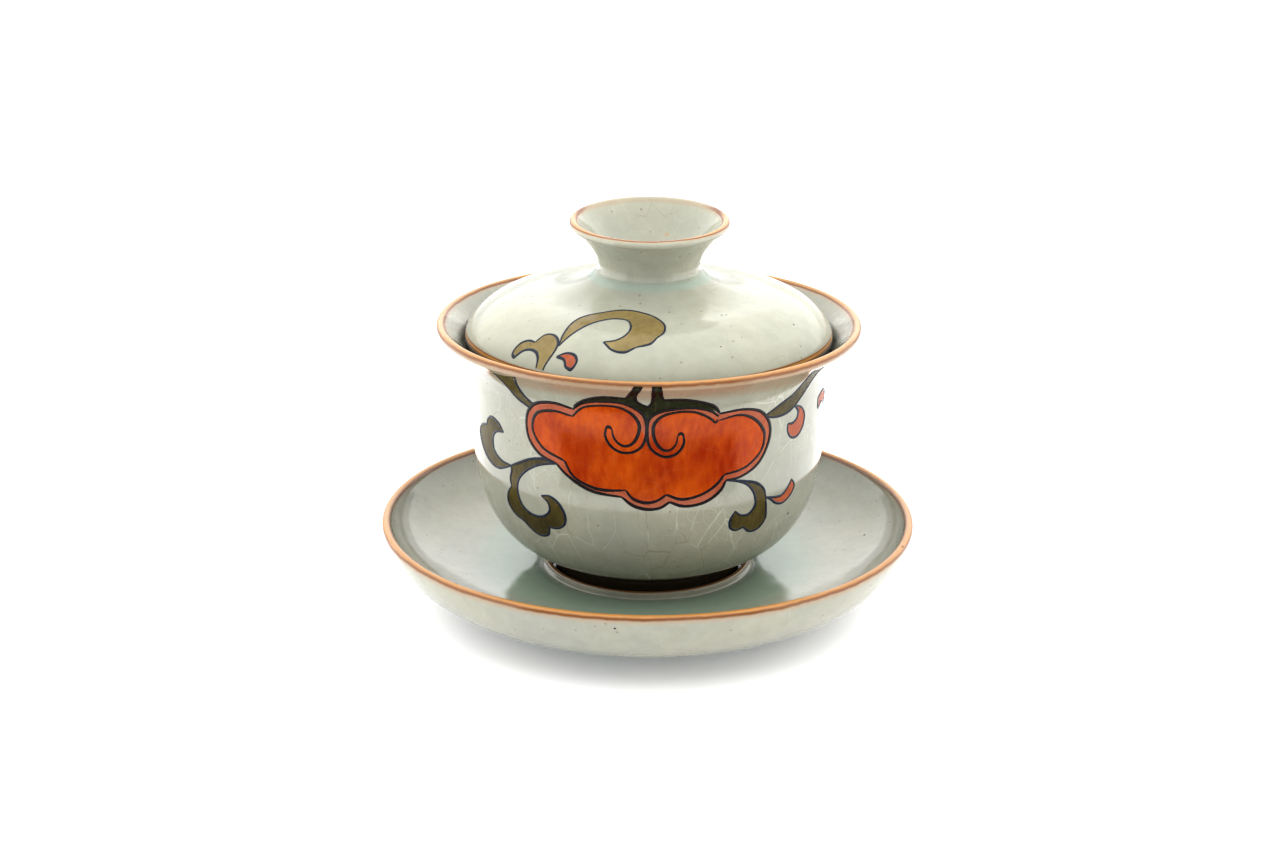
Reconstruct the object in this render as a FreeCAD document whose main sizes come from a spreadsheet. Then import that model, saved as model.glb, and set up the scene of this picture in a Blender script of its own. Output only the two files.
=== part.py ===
"""Gaiwan, the three-part lidded tea bowl: saucer, bowl and lid, in millimetres.

The frame stands on the saucer's foot: origin at the middle of the face it rests on, +Z up the
common axis. Every piece is thrown clay, so each is one outline turned about +Z, and the
outline's points are cells of the sheet. A wall is drawn as a smooth curve between two points
with one handle near each, and a lip or an edge is an arc.
"""

import FreeCAD, Part
import os

import Sketcher

AXIS_LINE = -2
BASE_LINE = -1
ORIGIN_POINT = (-1, 1)
START, END, CENTRE = 1, 2, 3

# Points are (distance from the axis, height); a single number is the radius of an arc.
SIZES = {
    # saucer: dished plate on a turned foot ring
    "dish_recess_z": 3.2,
    "dish_foot_in_top_r": 26.6,
    "dish_foot_in_r": 27.4,
    "dish_foot_out_r": 30.6,
    "dish_foot_top_r": 31.6,
    "dish_foot_top_z": 2.4,
    "dish_under_near_r": 45.0,
    "dish_under_near_z": 3.4,
    "dish_under_far_r": 56.6,
    "dish_under_far_z": 8.5,
    "dish_lip_out_r": 59.0,
    "dish_lip_z": 19.45,
    "dish_lip_in_r": 57.0,
    "dish_lip_arc": 1.02,
    "dish_side_near_r": 52.8,
    "dish_side_near_z": 10.0,
    "dish_side_far_r": 44.0,
    "dish_floor_edge_r": 29.0,
    "dish_floor_z": 7.4,
    "dish_foot_fillet": 0.5,
    # seat ring: the low collar on the saucer's floor that centres the bowl
    "seat_in_r": 21.5,
    "seat_in_crest_r": 22.0,
    "seat_out_crest_r": 23.0,
    "seat_out_r": 23.5,
    "seat_crest_z": 9.85,
    "seat_crest_arc": 0.55,
    # bowl: footed, round-bellied, with a flared mouth
    "bowl_recess_z": 10.4,
    "bowl_foot_in_top_r": 17.4,
    "bowl_foot_in_r": 18.2,
    "bowl_foot_out_r": 20.4,
    "bowl_foot_top_r": 20.7,
    "bowl_foot_top_z": 12.0,
    "bowl_belly_start_r": 21.6,
    "bowl_belly_start_z": 12.7,
    "bowl_belly_near_r": 31.0,
    "bowl_belly_near_z": 15.2,
    "bowl_belly_far_r": 38.4,
    "bowl_belly_far_z": 22.0,
    "bowl_side_r": 38.5,
    "bowl_side_z": 42.0,
    "bowl_flare_near_r": 38.6,
    "bowl_flare_near_z": 53.5,
    "bowl_flare_far_r": 40.6,
    "bowl_flare_far_z": 59.2,
    "bowl_lip_out_r": 45.9,
    "bowl_lip_out_z": 63.4,
    "bowl_lip_in_r": 44.6,
    "bowl_lip_in_z": 64.75,
    "bowl_lip_arc": 0.97,
    "bowl_mouth_near_r": 41.1,
    "bowl_mouth_near_z": 61.9,
    "bowl_mouth_far_r": 36.0,
    "bowl_mouth_far_z": 58.0,
    "bowl_inside_r": 36.0,
    "bowl_inside_z": 47.0,
    "bowl_inside_near_r": 35.7,
    "bowl_inside_near_z": 26.0,
    "bowl_inside_far_r": 29.5,
    "bowl_inside_far_z": 14.0,
    "bowl_well_r": 13.0,
    "bowl_well_z": 13.4,
    "bowl_foot_fillet": 0.4,
    # lid: shallow dome that sweeps up to the knob, resting inside the flare
    "lid_crown_z": 71.3,
    "lid_crown_handle_r": 18.0,
    "lid_shoulder_handle_r": 35.5,
    "lid_shoulder_handle_z": 68.6,
    "lid_edge_in_r": 37.9,
    "lid_edge_in_z": 60.9,
    "lid_edge_r": 39.9,
    "lid_edge_z": 61.1,
    "lid_edge_arc": 1.02,
    "lid_dome_near_z": 65.0,
    "lid_dome_far_r": 34.2,
    "lid_dome_far_z": 70.6,
    "lid_sweep_start_r": 24.0,
    "lid_sweep_start_z": 71.0,
    "lid_sweep_near_r": 19.5,
    "lid_sweep_near_z": 71.2,
    "lid_sweep_far_r": 14.6,
    "lid_sweep_far_z": 72.6,
    "knob_seat_r": 12.4,
    "knob_seat_z": 75.0,
    # knob: hollow flared ring luted to the dome, which is also the lid's foot when it is upturned
    "knob_bore_r": 7.4,
    "knob_waist_handle_r": 8.4,
    "knob_waist_handle_z": 77.2,
    "knob_flare_handle_r": 14.0,
    "knob_flare_handle_z": 83.6,
    "knob_lip_out_r": 17.1,
    "knob_lip_out_z": 85.7,
    "knob_lip_in_r": 15.6,
    "knob_lip_in_z": 86.7,
    "knob_lip_arc": 0.95,
    "knob_cup_near_r": 12.6,
    "knob_cup_near_z": 82.8,
    "knob_cup_far_r": 7.4,
    "knob_cup_far_z": 80.4,
    "knob_cup_floor_z": 76.6,
}


def make_sheet(doc):
    """The sheet of driving sizes, one aliased cell each."""
    sheet = doc.addObject("Spreadsheet::Sheet", "Sizes")
    for row, (alias, value) in enumerate(SIZES.items(), start=1):
        sheet.set(f"A{row}", alias)
        sheet.set(f"B{row}", str(value))
        sheet.setAlias(f"B{row}", alias)
    return sheet


def size(name):
    """The value of a named size, or 0 for a point on the axis or on the base line."""
    return SIZES[name] if name else 0.0


def spot(point):
    """A named point as a vector of its sketch."""
    return FreeCAD.Vector(size(point[0]), size(point[1]), 0)


def arc_through(first, last, radius):
    """The shorter anticlockwise arc of a radius from one point to the next."""
    chord = last - first
    half = chord.Length / 2
    side = FreeCAD.Vector(-chord.y, chord.x, 0).normalize()
    centre = (first + last) * 0.5 + side * (radius ** 2 - half ** 2) ** 0.5
    circle = Part.Circle(centre, FreeCAD.Vector(0, 0, 1), radius)
    return Part.ArcOfCircle(circle, circle.parameter(first), circle.parameter(last))


def bind(sketch, constraint, alias):
    """Adds a dimension and ties it to a cell of the sheet."""
    index = sketch.addConstraint(constraint)
    sketch.renameConstraint(index, f"{alias}_{index}")
    sketch.setExpression(f"Constraints[{index}]", f"Sizes.{alias}")


def place_point(sketch, geometry, end, point):
    """Ties one end of a line, curve or handle to its named distance and height."""
    distance, height = point
    if distance:
        bind(sketch, Sketcher.Constraint("DistanceX", *ORIGIN_POINT, geometry, end, size(distance)),
             distance)
    else:
        sketch.addConstraint(Sketcher.Constraint("PointOnObject", geometry, end, AXIS_LINE))
    if height:
        bind(sketch, Sketcher.Constraint("DistanceY", *ORIGIN_POINT, geometry, end, size(height)),
             height)
    else:
        sketch.addConstraint(Sketcher.Constraint("PointOnObject", geometry, end, BASE_LINE))


def add_curve(sketch, poles):
    """A cubic curve whose two middle poles are tied to their cells."""
    vectors = [spot(pole) for pole in poles]
    curve = sketch.addGeometry(
        Part.BSplineCurve(vectors, None, None, False, 3, None, False), False)
    for number, pole in enumerate(poles):
        handle = sketch.addGeometry(
            Part.Circle(vectors[number], FreeCAD.Vector(0, 0, 1), 1.0), True)
        sketch.addConstraint(Sketcher.Constraint(
            "InternalAlignment:Sketcher::BSplineControlPoint", handle, CENTRE, curve, number))
        sketch.addConstraint(Sketcher.Constraint("Weight", handle, 1.0))
        if 0 < number < len(poles) - 1:
            place_point(sketch, handle, CENTRE, pole)
    return curve


def draw_outline(sketch, outline):
    """Draws a closed outline, given as (point, way on to the next point) pairs.

    The way on is None for a straight line, the name of a radius for an arc, or a pair of
    handles for a smooth curve.
    """
    pieces = []
    count = len(outline)
    for number, (point, way) in enumerate(outline):
        following = outline[(number + 1) % count][0]
        if way is None:
            line = Part.LineSegment(spot(point), spot(following))
            pieces.append(sketch.addGeometry(line, False))
        elif isinstance(way, str):
            arc = arc_through(spot(point), spot(following), size(way))
            pieces.append(sketch.addGeometry(arc, False))
            bind(sketch, Sketcher.Constraint("Radius", pieces[-1], size(way)), way)
        else:
            pieces.append(add_curve(sketch, [point, *way, following]))
    for number, piece in enumerate(pieces):
        following = pieces[(number + 1) % count]
        sketch.addConstraint(Sketcher.Constraint("Coincident", piece, END, following, START))
        place_point(sketch, piece, START, outline[number][0])


def origin_plane(body, role):
    """One of a body's own origin planes."""
    return next(part for part in body.Origin.OriginFeatures if part.Role == role)


def turned_body(doc, name, outline):
    """A body made by turning one outline about +Z."""
    body = doc.addObject("PartDesign::Body", name)
    body.Label = name
    body.Placement = FreeCAD.Placement()
    sketch = body.newObject("Sketcher::SketchObject", f"{name}_outline")
    sketch.AttachmentSupport = [(origin_plane(body, "XZ_Plane"), "")]
    sketch.MapMode = "FlatFace"
    draw_outline(sketch, outline)
    turned = body.newObject("PartDesign::Revolution", f"{name}_turned")
    turned.Profile = sketch
    turned.ReferenceAxis = (sketch, ["V_Axis"])
    turned.Angle = 360
    doc.recompute()
    return body


def soften_foot(doc, body, height, alias):
    """Rounds the two edges of the foot ring's flat face at a height."""
    turned = body.Tip
    names = []
    for number, edge in enumerate(turned.Shape.Edges, start=1):
        box = edge.BoundBox
        flat = box.ZLength < 1e-6 and abs(box.ZMin - height) < 1e-6
        if flat and edge.Closed and abs(box.XLength - box.YLength) < 1e-3:
            names.append(f"Edge{number}")
    if len(names) != 2:
        raise RuntimeError(f"{body.Label} has {len(names)} foot edges, not 2")
    fillet = body.newObject("PartDesign::Fillet", f"{body.Label}_foot_softened")
    fillet.Base = (turned, names)
    fillet.Radius = SIZES[alias]
    fillet.setExpression("Radius", f"Sizes.{alias}")
    body.Tip = fillet
    doc.recompute()


def make_saucer(doc):
    """Dished plate: recessed underside, foot ring, rounded lip and a flat floor."""
    body = turned_body(doc, "saucer", [
        ((None, "dish_recess_z"), None),
        (("dish_foot_in_top_r", "dish_recess_z"), None),
        (("dish_foot_in_r", None), None),
        (("dish_foot_out_r", None), None),
        (("dish_foot_top_r", "dish_foot_top_z"), [
            ("dish_under_near_r", "dish_under_near_z"), ("dish_under_far_r", "dish_under_far_z")]),
        (("dish_lip_out_r", "dish_lip_z"), "dish_lip_arc"),
        (("dish_lip_in_r", "dish_lip_z"), [
            ("dish_side_near_r", "dish_side_near_z"), ("dish_side_far_r", "dish_floor_z")]),
        (("dish_floor_edge_r", "dish_floor_z"), None),
        ((None, "dish_floor_z"), None),
    ])
    soften_foot(doc, body, 0.0, "dish_foot_fillet")
    return body


def make_seat_ring(doc):
    """Collar that stands on the saucer's floor, with a rounded crest."""
    return turned_body(doc, "saucer_seat_ring", [
        (("seat_in_r", "dish_floor_z"), None),
        (("seat_out_r", "dish_floor_z"), None),
        (("seat_out_crest_r", "seat_crest_z"), "seat_crest_arc"),
        (("seat_in_crest_r", "seat_crest_z"), None),
    ])


def make_bowl(doc):
    """Footed bowl whose foot stands on the saucer's floor inside the seat ring."""
    body = turned_body(doc, "bowl", [
        ((None, "bowl_recess_z"), None),
        (("bowl_foot_in_top_r", "bowl_recess_z"), None),
        (("bowl_foot_in_r", "dish_floor_z"), None),
        (("bowl_foot_out_r", "dish_floor_z"), None),
        (("bowl_foot_top_r", "bowl_foot_top_z"), None),
        (("bowl_belly_start_r", "bowl_belly_start_z"), [
            ("bowl_belly_near_r", "bowl_belly_near_z"), ("bowl_belly_far_r", "bowl_belly_far_z")]),
        (("bowl_side_r", "bowl_side_z"), [
            ("bowl_flare_near_r", "bowl_flare_near_z"), ("bowl_flare_far_r", "bowl_flare_far_z")]),
        (("bowl_lip_out_r", "bowl_lip_out_z"), "bowl_lip_arc"),
        (("bowl_lip_in_r", "bowl_lip_in_z"), [
            ("bowl_mouth_near_r", "bowl_mouth_near_z"), ("bowl_mouth_far_r", "bowl_mouth_far_z")]),
        (("bowl_inside_r", "bowl_inside_z"), [
            ("bowl_inside_near_r", "bowl_inside_near_z"),
            ("bowl_inside_far_r", "bowl_inside_far_z")]),
        (("bowl_well_r", "bowl_well_z"), None),
        ((None, "bowl_well_z"), None),
    ])
    soften_foot(doc, body, SIZES["dish_floor_z"], "bowl_foot_fillet")
    return body


def make_lid_dome(doc):
    """Shallow dome, open underneath, with a rounded edge and a flat seat for the knob."""
    return turned_body(doc, "lid_dome", [
        ((None, "lid_crown_z"), [
            ("lid_crown_handle_r", "lid_crown_z"),
            ("lid_shoulder_handle_r", "lid_shoulder_handle_z")]),
        (("lid_edge_in_r", "lid_edge_in_z"), "lid_edge_arc"),
        (("lid_edge_r", "lid_edge_z"), [
            ("lid_edge_r", "lid_dome_near_z"), ("lid_dome_far_r", "lid_dome_far_z")]),
        (("lid_sweep_start_r", "lid_sweep_start_z"), [
            ("lid_sweep_near_r", "lid_sweep_near_z"), ("lid_sweep_far_r", "lid_sweep_far_z")]),
        (("knob_seat_r", "knob_seat_z"), None),
        ((None, "knob_seat_z"), None),
    ])


def make_lid_knob(doc):
    """Flared hollow ring that stands on the dome's seat, open at the top."""
    return turned_body(doc, "lid_knob", [
        (("knob_bore_r", "knob_seat_z"), None),
        (("knob_seat_r", "knob_seat_z"), [
            ("knob_waist_handle_r", "knob_waist_handle_z"),
            ("knob_flare_handle_r", "knob_flare_handle_z")]),
        (("knob_lip_out_r", "knob_lip_out_z"), "knob_lip_arc"),
        (("knob_lip_in_r", "knob_lip_in_z"), [
            ("knob_cup_near_r", "knob_cup_near_z"), ("knob_cup_far_r", "knob_cup_far_z")]),
        (("knob_bore_r", "knob_cup_floor_z"), None),
    ])


def check_document(doc, bodies):
    """Stops if anything failed to recompute or a piece isn't one valid solid."""
    doc.recompute()
    for thing in doc.Objects:
        if "Invalid" in thing.State or "Error" in thing.State:
            raise RuntimeError(f"{thing.Label} failed: {thing.State}")
    for body in bodies:
        shape = body.Shape
        if shape.isNull() or not shape.isValid() or len(shape.Solids) != 1:
            raise RuntimeError(f"{body.Label} isn't one valid solid")


def main():
    doc = FreeCAD.newDocument("Gaiwan")
    make_sheet(doc)
    doc.recompute()
    makers = (make_saucer, make_seat_ring, make_bowl, make_lid_dome, make_lid_knob)
    bodies = [maker(doc) for maker in makers]
    check_document(doc, bodies)
    os.makedirs("parts", exist_ok=True)
    for body in bodies:
        body.Shape.exportStep(f"parts/{body.Label}.step")
        box = body.Shape.BoundBox
        print(f"{body.Label}: {body.Shape.Volume / 1000:.2f} cm3, across {box.XLength:.2f}, "
              f"z {box.ZMin:.2f} to {box.ZMax:.2f}")


main()
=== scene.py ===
"""Gaiwan workbench: turns, glazes and paints a three-part lidded tea bowl around its packed frame."""

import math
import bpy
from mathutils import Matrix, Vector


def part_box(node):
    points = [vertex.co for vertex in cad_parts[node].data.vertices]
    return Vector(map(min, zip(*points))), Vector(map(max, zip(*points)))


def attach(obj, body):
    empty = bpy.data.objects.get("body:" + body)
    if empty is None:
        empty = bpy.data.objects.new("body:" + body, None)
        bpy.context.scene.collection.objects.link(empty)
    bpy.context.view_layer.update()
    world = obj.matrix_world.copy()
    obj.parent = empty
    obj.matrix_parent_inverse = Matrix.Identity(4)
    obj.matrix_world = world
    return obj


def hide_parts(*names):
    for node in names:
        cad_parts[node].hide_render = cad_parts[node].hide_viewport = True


bl_info = {
    "name": "Gaiwan Workbench",
    "version": (1, 0, 0),
    "blender": (4, 5, 0),
    "location": "View3D > Sidebar > Gaiwan",
    "description": "Turns, glazes and paints a celadon gaiwan: saucer, bowl and lid",
    "category": "Add Mesh",
}

from collections import namedtuple

import bpy
from bpy.props import FloatProperty, FloatVectorProperty, IntProperty, PointerProperty
from mathutils import Matrix, Vector
from mathutils.geometry import delaunay_2d_cdt

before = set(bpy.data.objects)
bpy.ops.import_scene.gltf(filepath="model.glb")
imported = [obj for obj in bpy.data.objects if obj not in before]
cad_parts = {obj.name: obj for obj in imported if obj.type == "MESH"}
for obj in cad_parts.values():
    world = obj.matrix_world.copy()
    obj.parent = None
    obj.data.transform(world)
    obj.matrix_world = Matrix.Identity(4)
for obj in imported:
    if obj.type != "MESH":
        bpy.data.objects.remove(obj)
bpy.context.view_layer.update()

MM = 0.001
FULL_TURN = 2 * math.pi


# ---------------------------------------------------------------- the outlines of the pots


class Outline:
    """Half of a pot's section, drawn in millimetres as (distance from the axis, height)."""

    def __init__(self, distance, height):
        self.knots = [[(distance, height), (distance, height), (distance, height)]]

    def _add(self, leave, arrive, end):
        self.knots[-1][2] = leave
        self.knots.append([arrive, end, end])

    def line(self, distance, height):
        """A straight run to a point."""
        start = self.knots[-1][1]
        end = (distance, height)
        third = [(e - s) / 3 for s, e in zip(start, end)]
        leave = (start[0] + third[0], start[1] + third[1])
        arrive = (end[0] - third[0], end[1] - third[1])
        self._add(leave, arrive, end)
        return self

    def curve(self, leave, arrive, end):
        """A smooth run to a point, shaped by a handle near each end."""
        self._add(leave, arrive, end)
        return self

    def arc(self, centre, end):
        """A round run about a centre, anticlockwise."""
        start = self.knots[-1][1]
        radius = math.dist(start, centre)
        first = math.atan2(start[1] - centre[1], start[0] - centre[0])
        last = math.atan2(end[1] - centre[1], end[0] - centre[0])
        sweep = (last - first) % FULL_TURN
        count = math.ceil(sweep / (math.pi / 2))
        reach = 4 / 3 * math.tan(sweep / count / 4) * radius
        for number in range(count):
            a = first + sweep * number / count
            b = first + sweep * (number + 1) / count
            near = (centre[0] + radius * math.cos(a) - reach * math.sin(a),
                    centre[1] + radius * math.sin(a) + reach * math.cos(a))
            far = (centre[0] + radius * math.cos(b) + reach * math.sin(b),
                   centre[1] + radius * math.sin(b) - reach * math.cos(b))
            stop = (centre[0] + radius * math.cos(b), centre[1] + radius * math.sin(b))
            self._add(near, far, stop if number < count - 1 else end)
        return self


# The middle of each rounded lip, where the iron dressing is wiped on: (distance, height) in millimetres.
SAUCER_LIP = (58.0, 19.25)
SEAT_RING_LIP = (22.5, 9.55)
BOWL_LIP = (45.05, 63.93)
LID_LIP = (38.9, 61.12)
KNOB_LIP = (16.35, 86.2)
# The line that the iron spreads from: on top of a lip that faces up, and below the edge of the lid.
SAUCER_IRON = (58.0, 19.85)
SEAT_RING_IRON = (22.3, 9.9)
BOWL_IRON = (45.05, 64.5)
LID_IRON = (39.9, 62.6)
KNOB_IRON = (16.35, 86.75)


def saucer_outline():
    """From the middle of the underside, round the foot and the lip, to the middle of the floor."""
    return (Outline(0, 3.2).line(25.6, 3.2).curve((26.4, 3.2), (26.9, 2.8), (27.0, 2.0))
            .line(27.3, 0.6).curve((27.4, 0.1), (27.6, 0), (28.1, 0)).line(30.0, 0)
            .curve((30.4, 0), (30.7, 0.2), (30.8, 0.6)).line(31.1, 1.6)
            .curve((31.4, 2.5), (32.2, 2.5), (33.4, 2.55))
            .curve((45.0, 3.7), (56.7, 8.7), (59.0, 19.3))
            .arc(SAUCER_LIP, (57.0, 19.35))
            .curve((54.6, 12.6), (45.5, 8.8), (27.0, 9.0))
            .curve((25.5, 9.1), (23.0, 9.2), (22.6, 7.4)).line(0, 7.4))


def seat_ring_outline():
    """Low collar with a rounded crest, its outer side melting into the saucer's floor."""
    return (Outline(21.3, 7.4).line(22.8, 7.4).curve((24.6, 8.9), (23.6, 9.0), (23.1, 9.5))
            .arc(SEAT_RING_LIP, (21.9, 9.5)).curve((21.75, 8.4), (21.6, 7.6), (21.3, 7.4)))


def bowl_outline():
    """From the middle of the foot recess, up the outside, over the lip and down the inside."""
    return (Outline(0, 10.4).line(16.4, 10.4).curve((17.2, 10.4), (17.6, 10.0), (17.7, 9.2))
            .line(18.0, 7.9).curve((18.1, 7.5), (18.3, 7.4), (18.7, 7.4)).line(20.0, 7.4)
            .curve((20.3, 7.4), (20.45, 7.6), (20.5, 8.0)).line(20.6, 11.3)
            .curve((20.65, 12.2), (21.0, 12.5), (22.0, 12.8))
            .curve((31.0, 15.3), (38.4, 22.2), (38.5, 42.0))
            .curve((38.6, 53.5), (40.6, 59.2), (45.7, 63.2))
            .arc(BOWL_LIP, (44.4, 64.66))
            .curve((41.1, 61.9), (36.0, 58.0), (36.0, 47.0))
            .curve((35.7, 26.0), (29.5, 14.0), (13.0, 13.4)).line(0, 13.4))


def lid_outline():
    """From the middle of the underside, round the edge and up the dome to under the knob."""
    return (Outline(0, 71.3).curve((18.0, 71.3), (35.5, 68.6), (37.9, 60.9))
            .arc(LID_LIP, (39.9, 61.1))
            .curve((39.9, 65.0), (34.2, 70.6), (24.0, 71.0))
            .curve((19.5, 71.2), (14.6, 72.6), (12.5, 74.95))
            .curve((12.1, 75.35), (11.9, 75.5), (11.3, 75.95)).line(9.0, 75.6).line(0, 75.2))


def knob_outline():
    """Flared hollow knob with a rounded cup inside, standing on the dome's seat."""
    return (Outline(0, 75.0).line(12.4, 75.0)
            .curve((8.4, 77.2), (14.0, 83.6), (17.0, 85.6))
            .arc(KNOB_LIP, (15.7, 86.85))
            .curve((12.6, 82.8), (9.4, 77.4), (4.0, 76.2)).line(0, 76.0))


# ---------------------------------------------------------------- what is painted on


# Each brush stroke is a list of (along the wall, height) in millimetres: along is measured round the
# belly from the middle of the flower. A petal or leaf is a list of strokes that close into one outline.
FLOWER_EDGE = [
    [(-15, 56.8), (-18.8, 57.5), (-23.5, 56.2), (-26.3, 52.8), (-26.6, 48), (-24, 44.9), (-19.6, 43.4)],
    [(-19.6, 43.4), (-17.3, 41.4), (-12, 38.7), (-5.3, 37.8)],
    [(-5.3, 37.8), (-3.2, 36.1), (-0.2, 35.2), (2.5, 35.5), (4.5, 36.8)],
    [(4.5, 36.8), (7.5, 35.7), (12, 36.2), (15.4, 38.4), (16.6, 40.5)],
    [(16.6, 40.5), (20.2, 40.8), (24.6, 43.1), (27, 47.5), (26.7, 51.1), (23.8, 54.6),
     (19.4, 56.1), (14, 55.9)],
    [(14, 55.9), (12, 57), (7.7, 58), (3, 57.7), (0.8, 56.4), (0, 55)],
    [(0, 55), (-0.9, 56.6), (-2.5, 58.1), (-6.8, 59.6), (-11, 59), (-15, 56.8)],
]
FLOWER_HEART = [
    [(-15.1, 54.9), (-19.1, 55.5), (-23.5, 54), (-25.2, 50.2), (-23.2, 46.6), (-17.7, 44.4)],
    [(-17.7, 44.4), (-15.8, 41.4), (-11.8, 39.5), (-8.6, 39.1), (-4.5, 39.4)],
    [(-4.5, 39.4), (-3.1, 37.6), (-0.3, 36.7), (2, 37.2), (3.8, 38.5)],
    [(3.8, 38.5), (7, 37.3), (11.4, 38.1), (14.6, 40), (16.1, 41.8)],
    [(16.1, 41.8), (21.4, 42.8), (25.1, 45.8), (25.5, 49.3), (22.9, 52.8), (18.8, 54.9), (14.2, 54.3)],
    [(14.2, 54.3), (11, 56), (6.2, 57.2), (2.5, 56), (1, 53), (0, 50.5)],
    [(0, 50.5), (-1.7, 53.6), (-3.1, 56.6), (-6.8, 58.4), (-12.5, 57.5), (-15.1, 54.9)],
]
LEFT_CURL = [
    [(-14.9, 56.6), (-12.5, 58.5), (-8.5, 59.5), (-4.4, 59.2), (-1, 56.6), (-0.3, 54), (-0.4, 51.4),
     (-1.4, 49), (-3.2, 47.8), (-5.4, 47.7), (-7.4, 48.8), (-8.6, 51), (-8.4, 52.9)],
    [(-8.4, 52.9), (-7.9, 53.4), (-7.2, 52.9)],
    [(-7.2, 52.9), (-6.9, 51), (-6, 49.7), (-4.7, 49.1), (-3.1, 49.8), (-2, 51.8), (-1.8, 54.2),
     (-3.1, 56.6), (-5.6, 58.2), (-9.5, 58.3), (-12.8, 57.3), (-15.1, 54.9)],
]
RIGHT_CURL = [
    [(14, 55.3), (12.1, 56.8), (8.8, 57.9), (4.7, 57.8), (1.6, 56.9), (0.1, 55.3), (-0.2, 52.6),
     (0.2, 49.4), (1.5, 47.7), (3.8, 46.8), (6, 47.6), (7.2, 49.6), (7.1, 51.4)],
    [(7.1, 51.4), (6.6, 52), (5.9, 51.5)],
    [(5.9, 51.5), (5.6, 49.6), (4.6, 48.4), (3.2, 48.3), (1.9, 49.5), (1.1, 51.6), (1.2, 54.2),
     (2.6, 56.1), (5.6, 57.1), (8.8, 56.9), (12, 55.2), (13.6, 53.9), (13.9, 54.6)],
]
CALYX = [
    [(-14.4, 57.4), (-11.8, 59.4), (-8.5, 60.6), (-4, 60.7)],
    [(-4, 60.7), (-3.2, 61.8), (-2.2, 64.2)],
    [(-2.2, 64.2), (-1.1, 64.2)],
    [(-1.1, 64.2), (-2.4, 61.3), (-2.2, 59.9), (-1, 58.9), (0, 58.4)],
    [(0, 58.4), (0.7, 59.6), (0.9, 61.5), (0.8, 64.2)],
    [(0.8, 64.2), (2, 64.2)],
    [(2, 64.2), (2.2, 61.6), (2.7, 60.4)],
    [(2.7, 60.4), (6.5, 60.2), (10.1, 59.2), (12.6, 57.9), (14, 56.2)],
    [(14, 56.2), (12, 57.2), (7.7, 58.2), (3, 57.9), (0.8, 56.7), (0, 55.4)],
    [(0, 55.4), (-0.9, 56.8), (-2.5, 58.3), (-6.8, 59.8), (-11, 59.2), (-14.4, 57.4)],
]
LEFT_LEAF = [
    [(-30.6, 62.2), (-29.4, 59), (-28, 56.7), (-25, 54.9)],
    [(-25, 54.9), (-24, 56.2)],
    [(-24, 56.2), (-25.6, 58), (-26, 60.4), (-24.6, 63)],
    [(-24.6, 63), (-30.6, 62.2)],
]
LEFT_SCROLL = [
    [(-34.6, 46.9), (-36.2, 48.5), (-38.8, 49.1), (-40.8, 48.1), (-41.7, 46.6)],
    [(-41.7, 46.6), (-44.9, 45.4), (-46.1, 43.7), (-45, 41.2), (-41.7, 38.8), (-37.5, 38.1), (-32.2, 40)],
    [(-32.2, 40), (-36.1, 40.3), (-38.8, 41.9), (-39, 44.6), (-37.4, 46.2), (-34.6, 46.9)],
]
LEFT_HOOK = [
    [(-32.3, 40.1), (-29.5, 41.5), (-26.4, 43), (-23, 43.8), (-19.6, 43.4)],
    [(-19.6, 43.4), (-22, 42.9), (-25, 41.8), (-28.6, 39.3), (-30.4, 36.9), (-30.7, 33.7), (-29.4, 31.2),
     (-26.6, 30.1), (-23.8, 30.6), (-22, 32.3), (-22.1, 34), (-23.8, 35.4)],
    [(-23.8, 35.4), (-21.6, 35.7), (-19.5, 34.5), (-18.2, 31.9), (-18.6, 29.7), (-20.4, 28.4),
     (-22.7, 28.1)],
    [(-22.7, 28.1), (-23.6, 26.1), (-26.2, 25.3), (-28.8, 26.4), (-30.4, 27.7), (-33.2, 28.7),
     (-34.8, 30.9),
     (-34.3, 33.2), (-32.7, 35.3)],
    [(-32.7, 35.3), (-32.9, 37), (-32.3, 38.8), (-32.3, 40.1)],
]
RIGHT_LEAF = [
    [(24.8, 53.3), (27.3, 52.6), (30, 52.4), (32.6, 53), (35, 55.2), (36.2, 58), (36, 62.4)],
    [(36, 62.4), (33.4, 62.4)],
    [(33.4, 62.4), (33.3, 59.5), (31.8, 57), (29.5, 55.7), (24.8, 53.3)],
]
RIGHT_DROP = [
    [(33.6, 53.7), (36.4, 52.5), (38.3, 50.3), (38.2, 47.8), (36.3, 46.1), (34, 46.4),
     (32.6, 48.1), (32.4, 49.8)],
    [(32.4, 49.8), (34.2, 49.6), (35.4, 50.5), (35.3, 52), (33.6, 53.7)],
]
RIGHT_HOOK = [
    [(16.6, 40.5), (19.2, 39.9), (22, 38.5), (23.9, 35.9), (24.3, 33.4), (22.9, 31.7),
     (20.8, 31.8), (19.3, 33)],
    [(19.3, 33), (18.3, 31), (18.6, 29.2), (20.2, 28.3), (22, 28.7)],
    [(22, 28.7), (24, 27.2), (26.6, 27.4), (28, 29.4), (27.7, 31.7), (27.1, 34.6)],
    [(27.1, 34.6), (26.4, 36.6), (24.4, 38.4), (21, 39.6), (16.6, 40.5)],
]
RIGHT_TAIL = [
    [(27.1, 34.6), (28.8, 33.7), (30.6, 32.4), (33, 31.8), (35.4, 32.8), (36.5, 34.9), (35.2, 36.6)],
    [(35.2, 36.6), (34, 35), (32.2, 33.8), (30, 33.9), (27.1, 34.6)],
]
FAR_LEAF = [
    [(44, 52.6), (46, 53.6), (48.4, 52.4), (49.6, 49.6)],
    [(49.6, 49.6), (47, 50.6), (45.6, 49.6), (44, 52.6)],
]

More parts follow.
